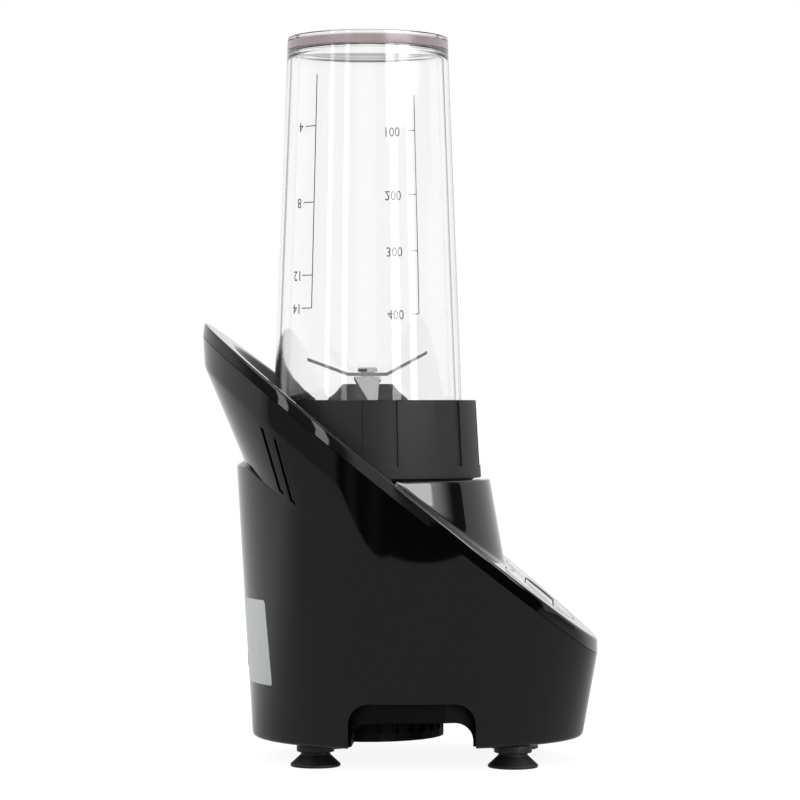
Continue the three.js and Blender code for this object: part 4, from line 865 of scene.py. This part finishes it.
def flat_grid(steps):
    """A square grid from -1 to 1."""
    deselect()
    bpy.ops.mesh.primitive_grid_add(x_subdivisions=steps, y_subdivisions=steps, size=2)
    return bpy.context.object


plate = flat_grid(40)
plate.name = "bare_plate"
for v in plate.data.vertices:
    across, up = v.co.x, v.co.y
    corner_share = max(0.0, abs(up) - 1 + CORNER_RISE) / CORNER_RISE
    across *= 1 - CORNER_DRAW * corner_share**2
    z = lerp(PLATE_LOW, PLATE_HIGH, (up + 1) / 2)
    a = lerp(PLATE_LEFT, PLATE_RIGHT, (across + 1) / 2) - PLATE_LEAN * up
    v.co = Vector(wall_point(a, z, -PLATE_LIFT)) * MM
thicken(plate, PLATE_THICK)
outward(plate)
smooth(plate, 40)
settle(plate, "base", metal("silver_foil", (0.6, 0.62, 0.63), (0.38, 0.5), 0.3), "steel")

# ---------------------------------------------------------------- screw collar
# Satin black moulding that the cup screws into, with a spigot that drops into the seat and a tower
# that carries the blades' shaft. Nine shallow pockets give the hand a grip.
COLLAR_FOOT, COLLAR_TOP = 49.2, 47.2
COLLAR_LOW, COLLAR_TOP_Z = SEAT_RIM_Z + 0.7, SEAT_RIM_Z + 34.1
SPIGOT_RADIUS, SPIGOT_BORE, SPIGOT_LOW = 45.4, 42.4, SEAT_FLOOR_Z + GAP
COLLAR_BORE = 43.0
CARRIER_Z, CARRIER_TOP = SEAT_RIM_Z + 3.9, SEAT_RIM_Z + 7.4
TOWER_FOOT, TOWER_HEAD, TOWER_HOLE, TOWER_TOP_Z = 22.0, 10.8, 6.8, COLLAR_TOP_Z + 6.9
GRIPS, GRIP_WIDTH, GRIP_DEPTH, GRIP_STEPS = 9, math.radians(18.5), 0.8, 17
GRIP_LOW_Z = COLLAR_LOW + 5.2
satin_black = plastic("satin_black", (0.015, 0.015, 0.017), (0.5, 0.6), 0.28, 0.012, 3.4)
collar_profile = rounded(
    [
        (SPIGOT_BORE, SPIGOT_LOW, 0),
        (SPIGOT_RADIUS, SPIGOT_LOW, 0.4),
        (SPIGOT_RADIUS, COLLAR_LOW, 0.3),
        (COLLAR_FOOT, COLLAR_LOW, 0.5),
        (COLLAR_TOP, COLLAR_TOP_Z, 0.7),
        (COLLAR_BORE + 0.2, COLLAR_TOP_Z, 0.4),
        (COLLAR_BORE, CARRIER_TOP, 0.5),
        (TOWER_FOOT, CARRIER_TOP, 0.8),
        (17.5, COLLAR_TOP_Z + 0.4, 1.2),
        (14.8, COLLAR_TOP_Z + 2.4, 1.0),
        (TOWER_HEAD, TOWER_TOP_Z, 0.5),
        (TOWER_HOLE, TOWER_TOP_Z, 0.2),
        (TOWER_HOLE, CARRIER_Z, 0),
        (SPIGOT_BORE, CARRIER_Z, 0.3),
    ]
)
collar = lathe("screw_collar", collar_profile, (AXIS_X, 0), 288, closed=True)


def grip_cutter(middle):
    """A bent block at an angle, from a pocket's depth in the collar to well outside and above it."""
    sweep = np.linspace(-1, 1, GRIP_STEPS) * GRIP_WIDTH / 2
    a = middle + np.concatenate([sweep, sweep[::-1]])
    rings = []
    for z in (GRIP_LOW_Z, COLLAR_TOP_Z + 2):
        outside = lerp(COLLAR_FOOT, COLLAR_TOP, (z - COLLAR_LOW) / (COLLAR_TOP_Z - COLLAR_LOW))
        radius = np.repeat([outside - GRIP_DEPTH, outside + 3], GRIP_STEPS)
        rings.append(point(AXIS_X + radius * np.cos(a), radius * np.sin(a), z))
    cutter = skin("grip_cutter", rings, closed=False)
    choose(cutter)
    bpy.ops.object.mode_set(mode="EDIT")
    bpy.ops.mesh.select_all(action="SELECT")
    bpy.ops.mesh.fill_holes(sides=0)
    bpy.ops.object.mode_set(mode="OBJECT")
    outward(cutter)
    return cutter


grip_start = -math.pi / 2 + GRIP_WIDTH / 2
carve(collar, joined([grip_cutter(grip_start + i * 2 * math.pi / GRIPS) for i in range(GRIPS)]))
smooth(collar, 28)
settle(collar, "blade_unit", satin_black, "satin_black", "blade_collar")

# ---------------------------------------------------------------- cup
# Clear copolyester, injection moulded, upside down in the collar. Its closed end is thick and
# dished, and a tinted ring sits in a groove round it.
CUP_TOP_Z, CUP_TOP, CUP_MOUTH, CUP_WALL = 311.6, 34.75, 40.75, 2.6
CUP_END, CUP_DISH = 5.9, 3.6
CUP_LIP_Z = SEAT_RIM_Z + 10
CUP_THREAD, CUP_THREAD_TOP = 42.6, COLLAR_TOP_Z - 6.7
RING_TOP, RING_HEIGHT, RING_DEPTH = CUP_TOP_Z - 1.8, 3.7, 1
RING_LOW = RING_TOP - RING_HEIGHT
GROOVE_DEPTH = RING_DEPTH + GAP


def cup_radius(z):
    return lerp(CUP_TOP, CUP_MOUTH, (CUP_TOP_Z - z) / (CUP_TOP_Z - COLLAR_TOP_Z))


inside_z = CUP_TOP_Z - CUP_END
cup_profile = rounded(
    [
        (0.0, inside_z, 0),
        (cup_radius(inside_z) - CUP_WALL, inside_z, 4.5),
        (CUP_MOUTH - CUP_WALL, COLLAR_TOP_Z, 3),
        (CUP_THREAD - CUP_WALL - 1.5, CUP_LIP_Z, 0.3),
        (CUP_THREAD, CUP_LIP_Z, 0.5),
        (CUP_THREAD, CUP_THREAD_TOP, 0.6),
        (CUP_MOUTH, CUP_THREAD_TOP + 3, 0.8),
        (CUP_MOUTH, COLLAR_TOP_Z, 0.5),
        (cup_radius(RING_LOW), RING_LOW - GAP, 0.1),
        (cup_radius(RING_LOW) - GROOVE_DEPTH, RING_LOW - GAP, 0.1),
        (cup_radius(RING_TOP) - GROOVE_DEPTH, RING_TOP + GAP, 0.1),
        (cup_radius(RING_TOP), RING_TOP + GAP, 0.1),
        (CUP_TOP - 0.1, CUP_TOP_Z, 0.35),
        (CUP_TOP - 3.2, CUP_TOP_Z, 0.6),
        (CUP_TOP - 5, CUP_TOP_Z - CUP_DISH, 0.8),
        (0.0, CUP_TOP_Z - CUP_DISH, 0),
    ],
    4,
)
cup = lathe("clear_cup", cup_profile, (AXIS_X, 0), 256)
clear = Finish(bpy.data.materials.new("clear_plastic"))
ripple = noise(clear, 0.02, 1, (1, 1, 0.08)) * 0.25 + noise(clear, 0.16, 1, (1, 1, 0.04)) * 0.02
scuffs = noise(clear, 1.6, 3, (1, 1, 0.4)).ramp(0.62, 0.8)
clear_sockets = {
    "Base Color": blended(clear, noise(clear, 0.03), (0.988, 0.983, 0.987), (0.977, 0.97, 0.975)),
    "Roughness": scuffs * 0.03,
    "IOR": 1.5,
    "Transmission Weight": 1.0,
    "Normal": clear.node("Bump", {"Strength": 1.0, "Distance": MM, "Height": ripple}),
}
clear_plastic = clear.close(clear.node("BsdfPrincipled", clear_sockets))
settle(cup, "cup", clear_plastic, "clear_plastic", "cup_tumbler")

ring_profile = rounded(
    [
        (cup_radius(RING_LOW) - RING_DEPTH, RING_LOW, 0),
        (cup_radius(RING_LOW), RING_LOW, 0.25),
        (cup_radius(RING_TOP), RING_TOP, 0.25),
        (cup_radius(RING_TOP) - RING_DEPTH, RING_TOP, 0),
    ]
)
foot_ring = lathe("foot_ring", ring_profile, (AXIS_X, 0), 192, closed=True)
tint = Finish(bpy.data.materials.new("ring_tint"))
tint_sockets = {
    "Base Color": blended(tint, noise(tint, 0.12), (0.34, 0.26, 0.27), (0.44, 0.36, 0.37)),
    "Roughness": lerp(0.2, 0.32, noise(tint, 0.6)),
    "IOR": 1.5,
}
ring_tint = tint.close(tint.node("BsdfPrincipled", tint_sockets))
settle(foot_ring, "foot_ring", ring_tint, "ring_tint", "cup_foot_ring")

# ---------------------------------------------------------------- graduations
# Printed in dark grey on the cup's outside: fluid ounces on one side, millilitres on the other. The
# numbers are plain, and upside down as the cup is.
PRINT_LIFT, PRINT_THICK = 0.06, 0.05
LINE_WIDTH, TICK_WIDTH = 0.45, 0.4
NUMERAL_SIZE, NUMERAL_NARROW = 6.0, 0.92
ink = plastic("ink", (0.05, 0.05, 0.052), (0.45, 0.6), 0.4)


def bar(x, y, width, height):
    """A printed bar on the drawing."""
    printed = flat_grid(4)
    for v in printed.data.vertices:
        v.co = Vector((x + v.co.x * width / 2, y + v.co.y * height / 2, 0))
    return printed


def numeral(words, x, y):
    """A number on the drawing, turned half round."""
    curve = bpy.data.curves.new("numeral", "FONT")
    curve.body, curve.size, curve.resolution_u = words, NUMERAL_SIZE, 3
    curve.align_x = curve.align_y = "CENTER"
    text = bpy.data.objects.new("numeral", curve)
    scene.collection.objects.link(text)
    choose(text)
    bpy.ops.object.convert(target="MESH")
    text = bpy.context.object
    for v in text.data.vertices:
        v.co = Vector((x - NUMERAL_NARROW * v.co.x, y - v.co.y, 0))
    return text


def wrap_on_cup(drawing, middle):
    """Lays a flat drawing, x across and y up in millimetres, on the cup at an angle."""
    for v in drawing.data.vertices:
        across, z = v.co.x, v.co.y
        radius = cup_radius(z) + PRINT_LIFT
        a = middle + across / radius
        v.co = Vector((AXIS_X + radius * math.cos(a), radius * math.sin(a), z)) * MM


def graduations(name, middle, top, marks, side, tick, away):
    """A line from the top down to the last mark, with a tick and a number to one side of each."""
    bottom = marks[-1][0]
    drawing = [bar(0, (top + bottom) / 2, LINE_WIDTH, top - bottom)]
    for z, words in marks:
        drawing.append(bar(side * tick / 2, z, tick, TICK_WIDTH))
        drawing.append(numeral(words, side * away, z))
    printed = joined(drawing)
    printed.name = name
    wrap_on_cup(printed, math.radians(middle))
    thicken(printed, PRINT_THICK)
    settle(printed, "cup", ink, "ring_tint")


ounces = [(271.2, "4"), (238.7, "8"), (207.7, "12"), (193.7, "14")]
graduations("ounce_marks", -124, 293, ounces, side=-1, tick=5.8, away=8.8)
millilitres = [(274.3, "100"), (246, "200"), (221, "300"), (193, "400")]
graduations("millilitre_marks", 55.5, 290, millilitres, side=1, tick=4.5, away=12.5)

# ---------------------------------------------------------------- blades, motor and small parts
# The ground steel blades and their nut, the vent cage under the base, the motor on its rubber
# mounts, the switch and the filter board keep their modelled shapes and get finishes. The upper
# blade's darker steel and the bottom cover's darker black are painted shade.
GROUND = (1, 8, 1)  # how the grain of each is drawn out, along x, y and z
STACKED = (0.1, 0.1, 6)
WOUND = (0.2, 0.2, 5)
metals = {
    "steel": ((0.5, 0.49, 0.48), (0.1, 0.22), 0.9, GROUND),
    # The upper blade's steel is this same steel at under half its brightness, with the same roughness and
    # grain: painted shade.
    "blade_steel_painted_shade": ((0.2, 0.195, 0.19), (0.1, 0.22), 0.9, GROUND),
    "cast_metal": ((0.42, 0.43, 0.44), (0.45, 0.65), 0.8),
    "laminations": ((0.3, 0.3, 0.31), (0.4, 0.55), 1.5, STACKED),
    "copper": ((0.62, 0.27, 0.12), (0.25, 0.4), 1.0, WOUND),
    "brass": ((0.6, 0.44, 0.18), (0.25, 0.4)),
}
plastics = {
    # The bottom cover's black is the satin black at a tenth of its brightness and less glossy: painted
    # shade for the dark underside of the base.
    "cover_black_painted_shade": ((0.0015, 0.0015, 0.0018), (0.4, 0.55), 0.1, 0.01, 3.4),
    "carbon": ((0.02, 0.02, 0.02), (0.6, 0.8), 0.3, 0.02, 2.0),
    "nylon": ((0.62, 0.6, 0.54), (0.35, 0.5), 0.45, 0.004, 1.5),
    "circuit_board": ((0.02, 0.09, 0.035), (0.35, 0.5), 0.5, 0.01, 0.8),
    "capacitor_blue": ((0.02, 0.07, 0.2), (0.2, 0.3), 0.5, 0.004, 0.6),
    "silicone": ((0.5, 0.5, 0.48), (0.5, 0.6), 0.4, 0.004, 1.5),
}
finishes = {
    "gloss_black": gloss_black,
    "satin_black": satin_black,
    "rubber_black": rubber_black,
    "clear_plastic": clear_plastic,
}
finishes |= {name: metal(name, *look) for name, look in metals.items()}
finishes |= {name: plastic(name, *look) for name, look in plastics.items()}
finish_of = {row["node"]: row["material_slot"] for row in frame["record"]["subparts"]}
# The upper blade and the bottom cover take those darker copies, which are painted shade.
finish_of |= {"upper_blade": "blade_steel_painted_shade", "bottom_cover": "cover_black_painted_shade"}
for node, obj in frame["nodes"].items():
    if obj.hide_render:
        continue
    obj.data.materials.clear()
    obj.data.materials.append(finishes[finish_of[node]])
